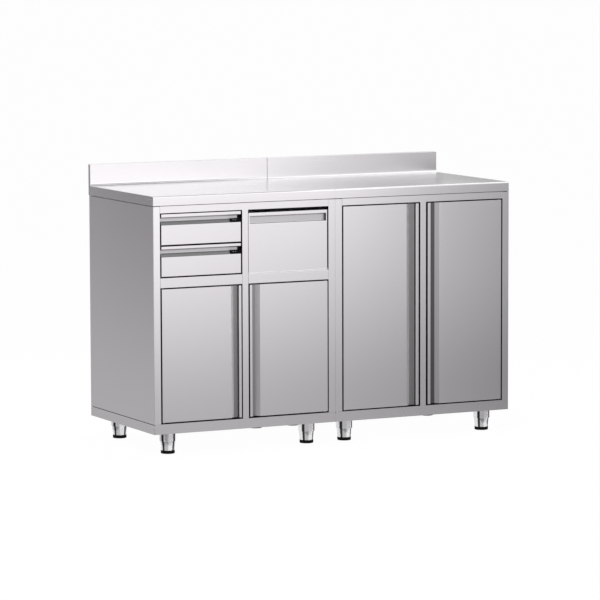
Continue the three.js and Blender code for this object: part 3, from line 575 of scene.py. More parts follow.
def moved_left(path, distance, closed):
    """The path moved to its left by a distance, with mitred corners."""
    moved = []
    last = len(path) - 1
    for i, point in enumerate(path):
        before = point - path[i - 1] if closed or i > 0 else path[1] - point
        after = path[(i + 1) % len(path)] - point if closed or i < last else point - path[i - 1]
        first = before.normalized().orthogonal()
        second = after.normalized().orthogonal()
        mitre = (first + second).normalized()
        moved.append(point + mitre * distance / mitre.dot(first))
    return moved


PLANES = {
    "X": lambda a, b, along: (along, a, b),
    "Z": lambda a, b, along: (a, b, along),
}


def skin_rings(shape, rings):
    """Joins rings of corners into a closed skin with flat ends."""
    corners = [[shape.verts.new(place) for place in ring] for ring in rings]
    for lower, upper in zip(corners, corners[1:]):
        for i in range(len(lower)):
            j = (i + 1) % len(lower)
            shape.faces.new((lower[i], lower[j], upper[j], upper[i]))
    shape.faces.new(corners[0][::-1])
    shape.faces.new(corners[-1])


def rounded_end(edge):
    """(distance from the end, inset) pairs of an end that is rounded over by an edge radius."""
    if not edge:
        return [(0, 0)]
    levels = []
    for step in range(EDGE_STEPS + 1):
        turn = math.pi / 2 * step / EDGE_STEPS
        levels.append((edge * (1 - math.cos(turn)), edge * (1 - math.sin(turn))))
    return levels


def prism(shape, outline, axis, low, high, low_edge=0, high_edge=None):
    """Adds a prism along an axis, with edge radii at its two ends, the same if one is given."""
    outline = anticlockwise(outline)
    high_edge = low_edge if high_edge is None else high_edge
    stack = [(low + along, inset) for along, inset in rounded_end(low_edge)]
    stack += [(high - along, inset) for along, inset in reversed(rounded_end(high_edge))]
    rings = []
    for along, inset in stack:
        ring = moved_left(outline, inset, True) if inset else outline
        rings.append([PLANES[axis](a, b, along) for a, b in ring])
    skin_rings(shape, rings)


def folded(shape, points, axis, low, high, side):
    """Adds a folded sheet: its outer face follows the points, and side 1 puts it on their left."""
    corners = [Vector(point[:2]) for point in points]
    inner = []
    for i, corner in enumerate(moved_left(corners, SHEET * side, False)):
        bend = points[i][2] if len(points[i]) > 2 else 0
        if bend:
            turn = (corners[i] - corners[i - 1]).cross(corners[i + 1] - corners[i])
            bend += SHEET if turn * side < 0 else -SHEET
        inner.append((corner.x, corner.y, max(bend, 0)))
    prism(shape, bent_outline(points) + bent_outline(inner)[::-1], axis, low, high)


def trough(low, high, tips, web, low_bend, high_bend):
    """Points of a sheet from low to high along its web, with both ends folded to the tips."""
    return [(low, tips), (low, web, low_bend), (high, web, high_bend), (high, tips)]


def rail_section(bottom, top, rear):
    points = trough(bottom, top, rear, FRONT, FRAME_BEND, FRAME_BEND)
    return [(y, z, *bend) for z, y, *bend in points]


def slab(shape, low, high, edge=0):
    corners = [
        (low[0], low[1], edge),
        (high[0], low[1], edge),
        (high[0], high[1], edge),
        (low[0], high[1], edge),
    ]
    prism(shape, bent_outline(corners), "Z", low[2], high[2], edge * SLAB_END_SHARE)


def upright_axis(node):
    middle = sum(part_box(node), Vector()) / 2
    return middle.x, middle.y


def around(axis, radius, angle):
    return axis[0] + radius * math.cos(angle), axis[1] + radius * math.sin(angle)


def turned(shape, profile, axis):
    """Adds a body turned round an upright axis, from the (radius, height) pairs of its profile."""
    rings = []
    for radius, z in profile:
        ring = []
        for side in range(LEG_SIDES):
            angle = 2 * math.pi * side / LEG_SIDES
            ring.append((*around(axis, radius, angle), z))
        rings.append(ring)
    skin_rings(shape, rings)


def add_spokes(piece, axis, turn):
    """Stores each corner's direction from an upright axis, for finishes turned round that axis."""
    spokes = piece.data.attributes.new("spoke", "FLOAT_VECTOR", "POINT")
    turned_back = Matrix.Rotation(-turn, 3, "Z")
    for corner, spoke in zip(piece.data.vertices, spokes.data):
        spoke.vector = turned_back @ Vector((corner.co.x - axis[0], corner.co.y - axis[1], 0))


def add_object(name, data):
    made = bpy.data.objects.new(name, data)
    bpy.context.scene.collection.objects.link(made)
    return made


def make_piece(name, mesh, body, finish, stands_for=()):
    """Puts a finished mesh into the scene, on its body and in place of its CAD nodes."""
    mesh.materials.clear()
    mesh.materials.append(finish)
    mesh.polygons.foreach_set("use_smooth", [True] * len(mesh.polygons))
    mesh.set_sharp_from_angle(angle=SMOOTH_ANGLE)
    piece = add_object(name, mesh)
    shading = piece.modifiers.new("flat_face_shading", "WEIGHTED_NORMAL")
    shading.keep_sharp = True
    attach(piece, body)
    if stands_for:
        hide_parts(*stands_for)
    return piece


def add_piece(name, shape, body, finish, stands_for=()):
    """Turns a shape into a piece with its faces pointing outwards."""
    bmesh.ops.recalc_face_normals(shape, faces=shape.faces)
    mesh = bpy.data.meshes.new(name)
    shape.to_mesh(mesh)
    shape.free()
    return make_piece(name, mesh, body, finish, stands_for)


def add_turned(name, profile, axis, body, finish, stands_for=()):
    """Adds a piece turned round the upright axis at (x, y)."""
    shape = bmesh.new()
    turned(shape, profile, axis)
    return add_piece(name, shape, body, finish, stands_for)


def add_slabs(name, boxes, body, finish, edge=0):
    shape = bmesh.new()
    for low, high in boxes:
        slab(shape, low, high, edge)
    add_piece(name, shape, body, finish)


def add_sheet(node, shape, finish):
    return add_piece(f"{node}_sheet", shape, "cabinet", finish, (node,))


def add_softened(node, name, body, finish):
    """Adds a copy of a CAD node's mesh with its triangles merged and its sharp edges taken off."""
    shape = bmesh.new()
    shape.from_mesh(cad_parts[node].data)
    bmesh.ops.remove_doubles(shape, verts=shape.verts, dist=WELD_DISTANCE)
    bmesh.ops.dissolve_limit(shape, angle_limit=FLAT_ANGLE, verts=shape.verts, edges=shape.edges)
    mesh = bpy.data.meshes.new(name)
    shape.to_mesh(mesh)
    shape.free()
    piece = make_piece(name, mesh, body, finish, (node,))
    edge = piece.modifiers.new("broken_edges", "BEVEL")
    edge.width = PLATE_EDGE
    edge.segments = 2
    edge.limit_method = "ANGLE"
    edge.angle_limit = SMOOTH_ANGLE
    piece.modifiers.move(len(piece.modifiers) - 1, 0)


def paint(piece, finish, chosen):
    """Gives one more finish to the faces that a test of their centre and normal chooses."""
    piece.data.materials.append(finish)
    for face in piece.data.polygons:
        if chosen(face.center, face.normal):
            face.material_index = len(piece.data.materials) - 1


# The two cabinets from side to side

Span = namedtuple("Span", "x0 x1 bay mullion")


def cabinet_span(name):
    low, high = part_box(f"{name}_back")
    middle = (low.x + high.x) / 2
    bay = (low.x + STILE_WIDTH + FIT, high.x - STILE_WIDTH - FIT)
    return Span(low.x, high.x, bay, (middle - MULLION_WIDTH / 2, middle + MULLION_WIDTH / 2))


SPANS = {name: cabinet_span(name) for name in ("left", "right")}


# Worktops


def add_worktop(name):
    low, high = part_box(f"{name}_worktop")
    outline = bent_outline([
        (FRONT, WORKTOP_BOTTOM, WORKTOP_FOOT_EDGE),
        (FRONT, WORKTOP_TOP, FRONT_BEND),
        (SPLASH_FRONT, WORKTOP_TOP, COVE),
        (SPLASH_FRONT, SPLASH_TOP, SPLASH_BEND),
        (REAR, SPLASH_TOP, SPLASH_BEND),
        (REAR, WORKTOP_BOTTOM, WORKTOP_FOOT_EDGE),
    ])
    edges = (WORKTOP_EDGE, SEAM_EDGE) if name == "left" else (SEAM_EDGE, WORKTOP_EDGE)
    shape = bmesh.new()
    prism(shape, outline, "X", low.x, high.x, *edges)
    piece = add_sheet(f"{name}_worktop", shape, STEEL_ALONG)

    def on_end(place, normal):
        return abs(normal.x) > 0.6

    def in_joint(place, normal):
        return on_end(place, normal) and abs(place.x) < JOINT_REACH

    def on_front_bend(place, normal):
        return place.y < FRONT + FRONT_BEND and 0.1 < normal.z < 0.98

    paint(piece, STEEL_ACROSS, on_end)
    # Painted shade in the joint between the worktops
    paint(piece, STEEL_GAP_SHADE, in_joint)
    # Painted light and shade on the worktop's top, its splash and its front bend
    paint(piece, STEEL_TOP_PAINTED_LIGHT, lambda place, normal: normal.z > 0.6 and place.z < WORKTOP_TOP + COVE)
    paint(piece, STEEL_SPLASH_PAINTED_LIGHT, lambda place, normal: normal.y < -0.8 and place.y > 0)
    paint(piece, STEEL_EDGE_PAINTED_LIGHT, on_front_bend)


def add_worktop_joint():
    """Flush strip that closes the joint of the two worktops along the lip and the flat top."""
    x0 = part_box("left_worktop")[1].x
    x1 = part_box("right_worktop")[0].x
    lip_low = (x0, FRONT, WORKTOP_BOTTOM + WORKTOP_EDGE)
    lip_high = (x1, FRONT + SHEET, WORKTOP_TOP - FRONT_BEND * JOINT_LIP_SHARE)
    top_low = (x0, FRONT + FRONT_BEND * JOINT_TOP_SHARE, WORKTOP_TOP - SHEET)
    top_high = (x1, SPLASH_FRONT - COVE * JOINT_TOP_SHARE, WORKTOP_TOP)
    rear_low = (x0, SPLASH_FRONT + SHEET * 2, WORKTOP_BOTTOM + WORKTOP_EDGE)
    rear_high = (x1, REAR - SHEET, SPLASH_TOP - SPLASH_BEND)
    strip = ((lip_low, lip_high), (top_low, top_high))
    add_slabs("worktop_joint_strip", strip, "cabinet", STEEL_ALONG)
    # The backing is a dark sheet behind the joint, so that the seam shows painted shade
    add_slabs("worktop_joint_backing", ((rear_low, rear_high),), "cabinet", STEEL_GAP_SHADE)


# Side panels with their stiles; hand is 1 at the cabinet's low X side


def add_side(node, span, hand):
    corner = span.x0 if hand > 0 else span.x1
    is_inner = "inner" in node
    edge = hand * STILE_SEAM / 2 if is_inner else corner
    edge_bend = STILE_SEAM_BEND if is_inner else CORNER_BEND
    inside = corner + hand * STILE_WIDTH
    points = [
        (inside, FRONT + STILE_RETURN),
        (inside, FRONT, FRAME_BEND),
        (edge, FRONT, edge_bend),
        (edge, SIDE_REAR - FIT),
    ]
    shape = bmesh.new()
    folded(shape, points, "Z", SKIRT_TOP + FIT, CABINET_TOP - SIDE_SEAM, -hand)
    foot = sorted((edge, edge + hand * SHEET))
    foot_low = (foot[0], FRONT + CORNER_BEND * 2, FLOOR_TOP + FOOT_SEAM)
    slab(shape, foot_low, (foot[1], SIDE_REAR - FIT, SKIRT_TOP + FIT - HAIR))
    piece = add_sheet(node, shape, STEEL_UPRIGHT)

    def on_return(place, normal):
        return abs(place.x - edge) > 2 * SHEET and normal.y > -0.7

    # Painted shade on the stile's return beside the gap
    paint(piece, STEEL_GAP_SHADE, on_return)
    if node == "left_outer_side":
        # Painted highlight: the outer left stile's front is lighter
        paint(piece, STEEL_STILE_PAINTED_LIGHT, lambda place, normal: normal.y < -0.7)


def add_back(name, span):
    points = trough(span.x0, span.x1, SIDE_REAR, CABINET_REAR, CORNER_BEND, CORNER_BEND)
    shape = bmesh.new()
    folded(shape, points, "Z", CABINET_BOTTOM, CABINET_TOP, -1)
    add_sheet(f"{name}_back", shape, STEEL_UPRIGHT)


# Floor pans


def add_floor_pan(name, span):
    x0 = span.x0 if name == "left" else STILE_SEAM / 2
    x1 = span.x1 if name == "right" else -STILE_SEAM / 2
    shoulder = SIDE_REAR - FIT
    rear = CABINET_REAR - SHEET - FIT
    bends = (CORNER_BEND, STILE_SEAM_BEND)
    skirt = trough(x0, x1, shoulder, FRONT, *(bends if name == "left" else bends[::-1]))
    lip = [(x0 + SHEET, FRONT), (x1 - SHEET, FRONT)]
    shape = bmesh.new()
    folded(shape, skirt, "Z", CABINET_BOTTOM, FLOOR_TOP, 1)
    folded(shape, lip, "Z", FLOOR_TOP + HAIR, SKIRT_TOP, 1)
    slab(
        shape,
        (x0 + SHEET + HAIR, FRONT + SHEET + HAIR, FLOOR_TOP - SHEET),
        (x1 - SHEET - HAIR, shoulder - HAIR, FLOOR_TOP),
    )
    slab(
        shape,
        (x0 + SHEET + FIT, shoulder, FLOOR_TOP - SHEET),
        (x1 - SHEET - FIT, rear - SHEET - HAIR, FLOOR_TOP),
    )
    slab(
        shape,
        (x0 + SHEET + FIT, rear - SHEET, CABINET_BOTTOM),
        (x1 - SHEET - FIT, rear, FLOOR_TOP),
    )
    piece = add_sheet(f"{name}_floor_pan", shape, STEEL_ALONG)
    paint(piece, STEEL_ACROSS, lambda place, normal: abs(normal.x) > 0.6)
    # Painted shade on the top of the skirt's lip, under the gap
    paint(piece, STEEL_GAP_SHADE, lambda place, normal: place.z > FLOOR_TOP + MM and normal.z > 0.5)


# Front frames: top rail and mullion


def add_front_frame(name, span):
    rear = FRONT + RAIL_RETURN
    rail = rail_section(TOP_RAIL_BOTTOM, CABINET_TOP, rear)
    mullion = trough(*span.mullion, rear, FRONT, FRAME_BEND, FRAME_BEND)
    shape = bmesh.new()
    folded(shape, rail, "X", *span.bay, -1)
    folded(shape, mullion, "Z", SKIRT_TOP + FIT, TOP_RAIL_BOTTOM + FRAME_BEND, 1)
    piece = add_sheet(f"{name}_front_frame", shape, STEEL_UPRIGHT)
    # Painted shade on the returns of the rail and the mullion, beside the gaps
    paint(piece, STEEL_GAP_SHADE, lambda place, normal: normal.y > -0.85)


# Deck below the drawers and the bin, whose front folds are the middle rail


def add_deck(span):
    low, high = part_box("drawer_deck")
    m0, m1 = span.mullion
    behind = FRONT + RAIL_RETURN + FIT
    rail = rail_section(MID_RAIL_BOTTOM, DECK_TOP, behind - HAIR)
    deck = [
        (behind, MID_RAIL_BOTTOM),
        (behind, DECK_TOP),
        (high.y, DECK_TOP, FRAME_BEND),
        (high.y, MID_RAIL_BOTTOM),
    ]
    shape = bmesh.new()
    folded(shape, rail, "X", span.bay[0], m0 - FIT, -1)
    folded(shape, rail, "X", m1 + FIT, span.bay[1], -1)
    folded(shape, deck, "X", low.x, high.x, -1)
    piece = add_sheet("drawer_deck", shape, STEEL_ALONG)

    def below_bin(place, normal):
        return normal.z > 0.1 and place.y < behind and place.x > m1

    # Painted shade on the middle rail's returns, beside the gaps
    paint(piece, STEEL_GAP_SHADE, lambda place, normal: normal.y > -0.85 and place.y < behind)
    # Painted light on the deck's top under the bin
    paint(piece, STEEL_BIN_FOOT_LIGHT, below_bin)


# Doors, drawer fronts and the bin's front, each a folded skin with a finger channel


def grip_points(grip, length, hem):
    """Face of a front as (distance along it, depth behind it), with the channel at its far end.

    A liner, tray or hopper closes the front's back, behind the face's own thickness.
    """
    lip_start = length - grip.lip
    flat_start = lip_start - grip.flat
    return [
        (0, FACE_THICKNESS),
        (0, 0, hem),
        (flat_start - grip.slope, 0, grip.face_bend),
        (flat_start, GRIP_DEPTH, grip.foot_bend),
        (lip_start, GRIP_DEPTH, grip.lip_bend),
        (lip_start, 0, LIP_EDGE),
        (length, 0, FACE_BEND),
        (length, FACE_THICKNESS),
    ]


def darken_border(piece, low, high):
    """Paints shade on the four outer edges of a front, which face the gaps round it."""
    def on_border(place, normal):
        beside = min(place.x - low.x, high.x - place.x, place.z - low.z, high.z - place.z)
        return beside < MM and normal.y > -0.8

    paint(piece, STEEL_GAP_SHADE, on_border)


def trimmed_box(node, trim):
    """Box of a front's CAD node, less the trim at its bottom and its top."""
    low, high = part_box(node)
    low.z += trim[0]
    high.z -= trim[1]
    return low, high


def add_door(name, hinged_low, grip, trim):
    low, high = trimmed_box(f"{name}_skin", trim)
    low.x += DOOR_SIDE_TRIMS[name][0]
    high.x -= DOOR_SIDE_TRIMS[name][1]
    hinge, free, hand = (low.x, high.x, 1) if hinged_low else (high.x, low.x, -1)
    points = grip_points(grip, high.x - low.x, FACE_BEND)
    outline = [(hinge + hand * u, FRONT + depth, *bend) for u, depth, *bend in points]
    wall = free - hand * grip.lip
    foot = wall - hand * grip.flat
    flat = sorted((wall, foot))
    slope = sorted((foot, foot - hand * grip.slope))

    def on_slope(place, normal):
        return slope[0] < place.x < slope[1] and abs(normal.x) > 0.3

    def on_flat(place, normal):
        is_deep = place.y > FRONT + GRIP_DEPTH - MM
        return is_deep and normal.y < -0.8 and flat[0] < place.x < flat[1]

    def on_wall(place, normal):
        return abs(place.x - wall) < 3 * MM and abs(normal.x) > 0.6 and place.y > FRONT + 2 * MM

    shape = bmesh.new()
    prism(shape, bent_outline(outline), "Z", low.z, high.z, FACE_EDGE)
    piece = add_piece(f"{name}_face", shape, name, STEEL_DOOR, (f"{name}_skin",))
    darken_border(piece, low, high)
    # Painted light and shade on the channel's slope
    paint(piece, DOOR_SLOPES_PAINTED_LIGHT[name], on_slope)
    # Painted shade on the wall under the lip, and on the flat of the doors with shaded flats
    paint(piece, STEEL_WALL_SHADE, on_wall)
    if name in SHADED_FLATS:
        paint(piece, STEEL_WALL_SHADE, on_flat)
    add_softened(f"{name}_liner", f"{name}_back_plate", name, STEEL_LINER)


def add_channel_front(node, body, grip, finish, hem=FACE_BEND, trim=(0, 0), reach=0):
    """Front with a channel along its top; reach takes it further to the left than the CAD node."""
    low, high = trimmed_box(node, trim)
    low.x -= reach
    points = grip_points(grip, high.z - low.z, hem)
    outline = [(FRONT + depth, low.z + u, *bend) for u, depth, *bend in points]
    shape = bmesh.new()
    if grip.end:
        plain = bent_outline(outline[:2] + outline[-2:])
        prism(shape, plain, "X", low.x, low.x + grip.end, FACE_EDGE, 0)
        prism(shape, bent_outline(outline), "X", low.x + grip.end + HAIR, high.x - grip.end - HAIR)
        prism(shape, plain, "X", high.x - grip.end, high.x, 0, FACE_EDGE)
    else:
        prism(shape, bent_outline(outline), "X", low.x, high.x, FACE_EDGE)
    piece = add_piece(f"{node}_face", shape, body, finish, (node,))

    def on_channel_end(place, normal):
        return abs(normal.x) > 0.7 and low.x + MM < place.x < high.x - MM

    def on_slope(place, normal):
        return normal.z > 0.4 and place.y > FRONT + MM

    if grip.end:
        # Painted shade on the end walls of the bin's channel
        paint(piece, STEEL_GAP_SHADE, on_channel_end)
        # Painted light on the lower side of the bin's hem
        paint(piece, STEEL_BIN_FOOT_LIGHT, lambda place, normal: normal.z < -0.1 and place.z < low.z + hem)
    else:
        darken_border(piece, low, high)
        # Painted shade on the slope of the drawer's channel
        paint(piece, STEEL_DRAWER_SLOPE_SHADE, on_slope)


# Legs


PAD_PROFILE = (
    (AXIS_RADIUS, 0),
    (PAD_RADIUS - PAD_BOTTOM_EDGE, 0),
    (PAD_RADIUS - PAD_BOTTOM_EDGE / 3, PAD_BOTTOM_EDGE / 3),
    (PAD_RADIUS, PAD_BOTTOM_EDGE),
    (PAD_RADIUS, PAD_GROOVE[0]),
    (PAD_RADIUS - PAD_GROOVE_DEPTH, PAD_GROOVE[0] + PAD_GROOVE_DEPTH),
    (PAD_RADIUS - PAD_GROOVE_DEPTH, PAD_GROOVE[1] - PAD_GROOVE_DEPTH),
    (PAD_RADIUS, PAD_GROOVE[1]),
    (PAD_RADIUS, PAD_HEIGHT - PAD_TOP_EDGE),
    (PAD_RADIUS - PAD_TOP_EDGE, PAD_HEIGHT),
    (AXIS_RADIUS, PAD_HEIGHT),
)


def cup_profile(mouth, top):
    return (
        (AXIS_RADIUS, PAD_HEIGHT),
        (FOOT_BOTTOM_RADIUS - FOOT_BOTTOM_EDGE, PAD_HEIGHT),
        (FOOT_BOTTOM_RADIUS, PAD_HEIGHT + FOOT_BOTTOM_EDGE),
        (FOOT_TOP_RADIUS, mouth - FOOT_TOP_EDGE),
        (FOOT_TOP_RADIUS, top - FOOT_TOP_EDGE),
        (FOOT_TOP_RADIUS - FOOT_TOP_EDGE, top),
        (AXIS_RADIUS, top),
    )


def tube_profile(mouth, top):
    bore = SLEEVE_RADIUS - SLEEVE_WALL
    under = top - SLEEVE_FLANGE
    return (
        (AXIS_RADIUS, under),
        (bore, under),
        (bore, mouth + SLEEVE_RIM),
        (bore + SLEEVE_RIM_CUT, mouth + SLEEVE_RIM_CUT),
        (bore + SLEEVE_RIM, mouth),
        (SLEEVE_RADIUS - SLEEVE_RIM, mouth),
        (SLEEVE_RADIUS - SLEEVE_RIM_CUT, mouth + SLEEVE_RIM_CUT),
        (SLEEVE_RADIUS, mouth + SLEEVE_RIM),
        (SLEEVE_RADIUS, under),
        (SLEEVE_FLANGE_RADIUS, under),
        (SLEEVE_FLANGE_RADIUS, top),
        (AXIS_RADIUS, top),
    )


def add_leg(name):
    sleeve = f"{name}_leg_sleeve"
    foot = f"{name}_leg_foot"
    axis = upright_axis(sleeve)
    low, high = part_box(sleeve)
    tube = tube_profile(low.z, high.z)
    cup = cup_profile(low.z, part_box(foot)[1].z)
    # The painted reflection bands are turned differently on the outer left legs
    is_outer_left = name.startswith("left") and name.endswith("outer")
    turn = OUTER_LEFT_BAND_TURN if is_outer_left else BAND_TURN
    polished = (
        add_turned(f"{name}_leg_tube", tube, axis, "cabinet", POLISHED_TUBE, (sleeve,)),
        add_turned(f"{name}_leg_cup", cup, axis, foot, POLISHED_CUP, (foot,)),
    )
    for piece in polished:
        add_spokes(piece, axis, turn)
    add_turned(f"{name}_leg_pad", PAD_PROFILE, axis, foot, RUBBER)


# Fasteners: a domed head on every spot, made by one node group


def fastener_group():
    group = bpy.data.node_groups.new("domed_fasteners", "GeometryNodeTree")
    kinds = {
        "Spots": "NodeSocketGeometry",
        "Radius": "NodeSocketFloat",
        "Height": "NodeSocketFloat",
        "Finish": "NodeSocketMaterial",
    }
    sockets = {}
    for name, kind in kinds.items():
        socket = group.interface.new_socket(name, in_out="INPUT", socket_type=kind)
        sockets[name] = socket.identifier
    group.interface.new_socket("Heads", in_out="OUTPUT", socket_type="NodeSocketGeometry")

    def node(kind, inputs, settings=None):
        return add_node(group, kind, settings, inputs)

    given = group.nodes.new("NodeGroupInput").outputs
    ball = node("GeometryNodeMeshUVSphere", {"Segments": 12, "Rings": 6, "Radius": 1.0})
    width = given["Radius"]
    size = node("ShaderNodeCombineXYZ", {"X": width, "Y": width, "Z": given["Height"]})
    head = node("GeometryNodeTransform", {"Geometry": ball.outputs[0], "Scale": size.outputs[0]})
    vector = {"data_type": "FLOAT_VECTOR"}
    facing = node("GeometryNodeInputNamedAttribute", {"Name": "facing"}, vector)
    ahead = {"Vector": facing.outputs["Attribute"]}
    turn = node("FunctionNodeAlignRotationToVector", ahead, {"axis": "Z"})
    heads = node(
        "GeometryNodeInstanceOnPoints",
        {"Points": given["Spots"], "Instance": head.outputs[0], "Rotation": turn.outputs[0]},
    )
    real = node("GeometryNodeRealizeInstances", {"Geometry": heads.outputs[0]})
    coat = {"Geometry": real.outputs[0], "Material": given["Finish"]}
    coated = node("GeometryNodeSetMaterial", coat)
    node("NodeGroupOutput", {"Heads": coated.outputs[0]})
    return group, sockets


FASTENERS, FASTENER_INPUTS = fastener_group()


def add_fasteners(name, body, finish, spots, head):
    """Adds one kind of domed head at (place, facing) spots."""
    points = bpy.data.meshes.new(f"{name}_spots")
    points.from_pydata([place for place, _ in spots], [], [])
    facing = points.attributes.new("facing", "FLOAT_VECTOR", "POINT")
    for value, (_, direction) in zip(facing.data, spots):
        value.vector = direction
    holder = add_object(f"{name}_spots", points)
    modifier = holder.modifiers.new("fasteners", "NODES")
    modifier.node_group = FASTENERS
    modifier[FASTENER_INPUTS["Radius"]] = head.radius
    modifier[FASTENER_INPUTS["Height"]] = head.height
    modifier[FASTENER_INPUTS["Finish"]] = finish
    graph = bpy.context.evaluated_depsgraph_get()
    mesh = bpy.data.meshes.new_from_object(holder.evaluated_get(graph))
    bpy.data.objects.remove(holder)
    bpy.data.meshes.remove(points)
    make_piece(name, mesh, body, finish)


def all_facing(direction, places):
    return [(place, direction) for place in places]


def add_back_rivets(name, span):
    bottom = CABINET_BOTTOM + RIVET_END
    step = (CABINET_TOP - RIVET_END - bottom) / (RIVET_ROWS - 1)
    columns = (span.x0 + RIVET_INSET, span.x1 - RIVET_INSET)
    places = [(x, CABINET_REAR, bottom + row * step) for x in columns for row in range(RIVET_ROWS)]
    spots = all_facing((0, 1, 0), places)
    add_fasteners(f"{name}_back_rivets", "cabinet", ZINC, spots, RIVET)


def add_leg_bolts(cabinet):
    reach = (SLEEVE_RADIUS + SLEEVE_FLANGE_RADIUS) / 2
    places = []
    for place in LEG_PLACES:
        sleeve = f"{cabinet}_{place}_leg_sleeve"
        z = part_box(sleeve)[1].z - SLEEVE_FLANGE
        for quarter in range(4):
            angle = math.radians(45 + 90 * quarter)
            places.append((*around(upright_axis(sleeve), reach, angle), z))
    spots = all_facing((0, 0, -1), places)
    add_fasteners(f"{cabinet}_leg_bolts", "cabinet", ZINC, spots, LEG_BOLT)


def add_tray_rivets(drawer):
    low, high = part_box(f"{drawer}_tray")
    middle = (low.z + high.z) / 2
    spots = []
    for share in TRAY_SIDE_SHARES:
        y = low.y + share * (high.y - low.y)
        spots.append(((low.x + TRAY_SIDE, y, middle), (1, 0, 0)))
        spots.append(((high.x - TRAY_SIDE, y, middle), (-1, 0, 0)))
    for share in TRAY_FRONT_SHARES:
        x = low.x + share * (high.x - low.x)
        for rise in (-TRAY_RIVET_RISE, TRAY_RIVET_RISE):
            spots.append(((x, FRONTS_BACK + SHEET, middle + rise), (0, 1, 0)))
    add_fasteners(f"{drawer}_tray_rivets", drawer, ZINC, spots, RIVET)


def add_shelf_pins(span):
    low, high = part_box("cupboard_shelf")
    inset = SHEET + FIT + SHELF_PIN.height
    z = low.z - SHELF_PIN.radius
    rows = (low.y + SHELF_PIN_INSET, high.y - SHELF_PIN_INSET)
    places = [(x, y, z) for y in rows for x in (span.x0 + inset, span.x1 - inset)]
    add_fasteners("shelf_pins", "cabinet", ZINC, all_facing((1, 0, 0), places), SHELF_PIN)


def add_latch_pins(drawer):
    body = f"{drawer}_latch"
    low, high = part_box(body)
    x = high.x - LATCH_PIN_INSET
    z = low.z + LATCH_PIN_SHARE * DRAWER_GRIP.slope
    spots = all_facing((0, -1, 0), [(x, low.y, z), (x - LATCH_PIN_STEP, low.y, z)])
    add_fasteners(f"{body}_pins", body, GREY_PLASTIC, spots, LATCH_PIN)


# Door fittings: washers on the hinge rods, and magnet catches behind the free edges


def rail_above(door):
    return MID_RAIL_BOTTOM if door.startswith("low") else TOP_RAIL_BOTTOM


def add_washers(door):
    low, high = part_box(f"{door}_skin")
    axis = upright_axis(f"{door}_hinge_rod")
    gaps = ((FLOOR_TOP + FIT, low.z - FIT), (high.z + FIT, rail_above(door) - FIT))
    shape = bmesh.new()
    for bottom, top in gaps:
        profile = (
            (AXIS_RADIUS, bottom),
            (WASHER_RADIUS - FIT, bottom),
            (WASHER_RADIUS, bottom + FIT),
            (WASHER_RADIUS, top - FIT),
            (WASHER_RADIUS - FIT, top),
            (AXIS_RADIUS, top),
        )
        turned(shape, profile, axis)
    add_piece(f"{door}_hinge_washers", shape, "cabinet", BLACK_PLASTIC)


def add_catch(door, hinged_low):
    low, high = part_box(f"{door}_skin")
    rail = rail_above(door)
    x = high.x - CATCH_INSET if hinged_low else low.x + CATCH_INSET
    front = FRONTS_BACK + CATCH_GAP
    bottom = rail - CATCH_HEIGHT
    case_low = (x - CATCH_WIDTH / 2, front, bottom)
    case_high = (x + CATCH_WIDTH / 2, front + CATCH_DEPTH, rail - CATCH_RAIL_GAP)
    add_slabs(f"{door}_catch", ((case_low, case_high),), "cabinet", GREY_PLASTIC, CATCH_EDGE)
    plate_low = (x - STRIKE_WIDTH / 2, FRONTS_BACK, high.z - CATCH_HEIGHT)
    plate_high = (x + STRIKE_WIDTH / 2, FRONTS_BACK + STRIKE_THICKNESS, high.z - STRIKE_INSET)
    add_slabs(f"{door}_strike_plate", ((plate_low, plate_high),), door, ZINC)
    columns = (x - CATCH_SCREW_REACH, x + CATCH_SCREW_REACH)
    places = [(column, front + CATCH_DEPTH / 2, bottom) for column in columns]
    spots = all_facing((0, 0, -1), places)
    add_fasteners(f"{door}_catch_screws", "cabinet", ZINC, spots, CATCH_SCREW)


# Assembly

for cabinet, span in SPANS.items():
    add_back_rivets(cabinet, span)
    add_leg_bolts(cabinet)
    add_worktop(cabinet)
    add_back(cabinet, span)
    add_floor_pan(cabinet, span)
    add_front_frame(cabinet, span)

add_worktop_joint()
add_side("left_outer_side", SPANS["left"], 1)
add_side("left_inner_side", SPANS["left"], -1)
add_side("right_inner_side", SPANS["right"], 1)
add_side("right_outer_side", SPANS["right"], -1)
add_deck(SPANS["left"])
for node in ("bay_divider", "cupboard_shelf"):
    add_softened(node, f"{node}_sheet", "cabinet", STEEL_INSIDE)
add_shelf_pins(SPANS["right"])

DOOR_KINDS = {"low": (LOW_DOOR_GRIP, LOW_DOOR_TRIM), "tall": (TALL_DOOR_GRIP, TALL_DOOR_TRIM)}
for height, (grip, trim) in DOOR_KINDS.items():
    for side, hinged_low in (("left", True), ("right", False)):
        door = f"{height}_{side}_door"
        add_door(door, hinged_low, grip, trim)
        add_washers(door)
        add_catch(door, hinged_low)

DRAWER_KINDS = {
    "lower_drawer": (LOWER_DRAWER_GRIP, LOWER_DRAWER_TRIM),
    "upper_drawer": (DRAWER_GRIP, UPPER_DRAWER_TRIM),
}
for drawer, (grip, trim) in DRAWER_KINDS.items():
    add_channel_front(f"{drawer}_front", drawer, grip, STEEL_DRAWER, trim=trim)
    add_softened(f"{drawer}_tray", f"{drawer}_tray_sheet", drawer, STEEL_INSIDE)
    for side in ("left", "right"):
        outer = f"{drawer}_{side}_slide_outer"
        middle = f"{drawer}_{side}_slide_middle"
        add_softened(outer, f"{outer}_rail", "cabinet", ZINC)
        add_softened(middle, f"{middle}_rail", f"{drawer}_slides", ZINC)
    latch = f"{drawer}_latch"
    add_softened(latch, f"{drawer}_thumb_latch", latch, BLACK_PLASTIC)
    add_latch_pins(drawer)
    add_tray_rivets(drawer)

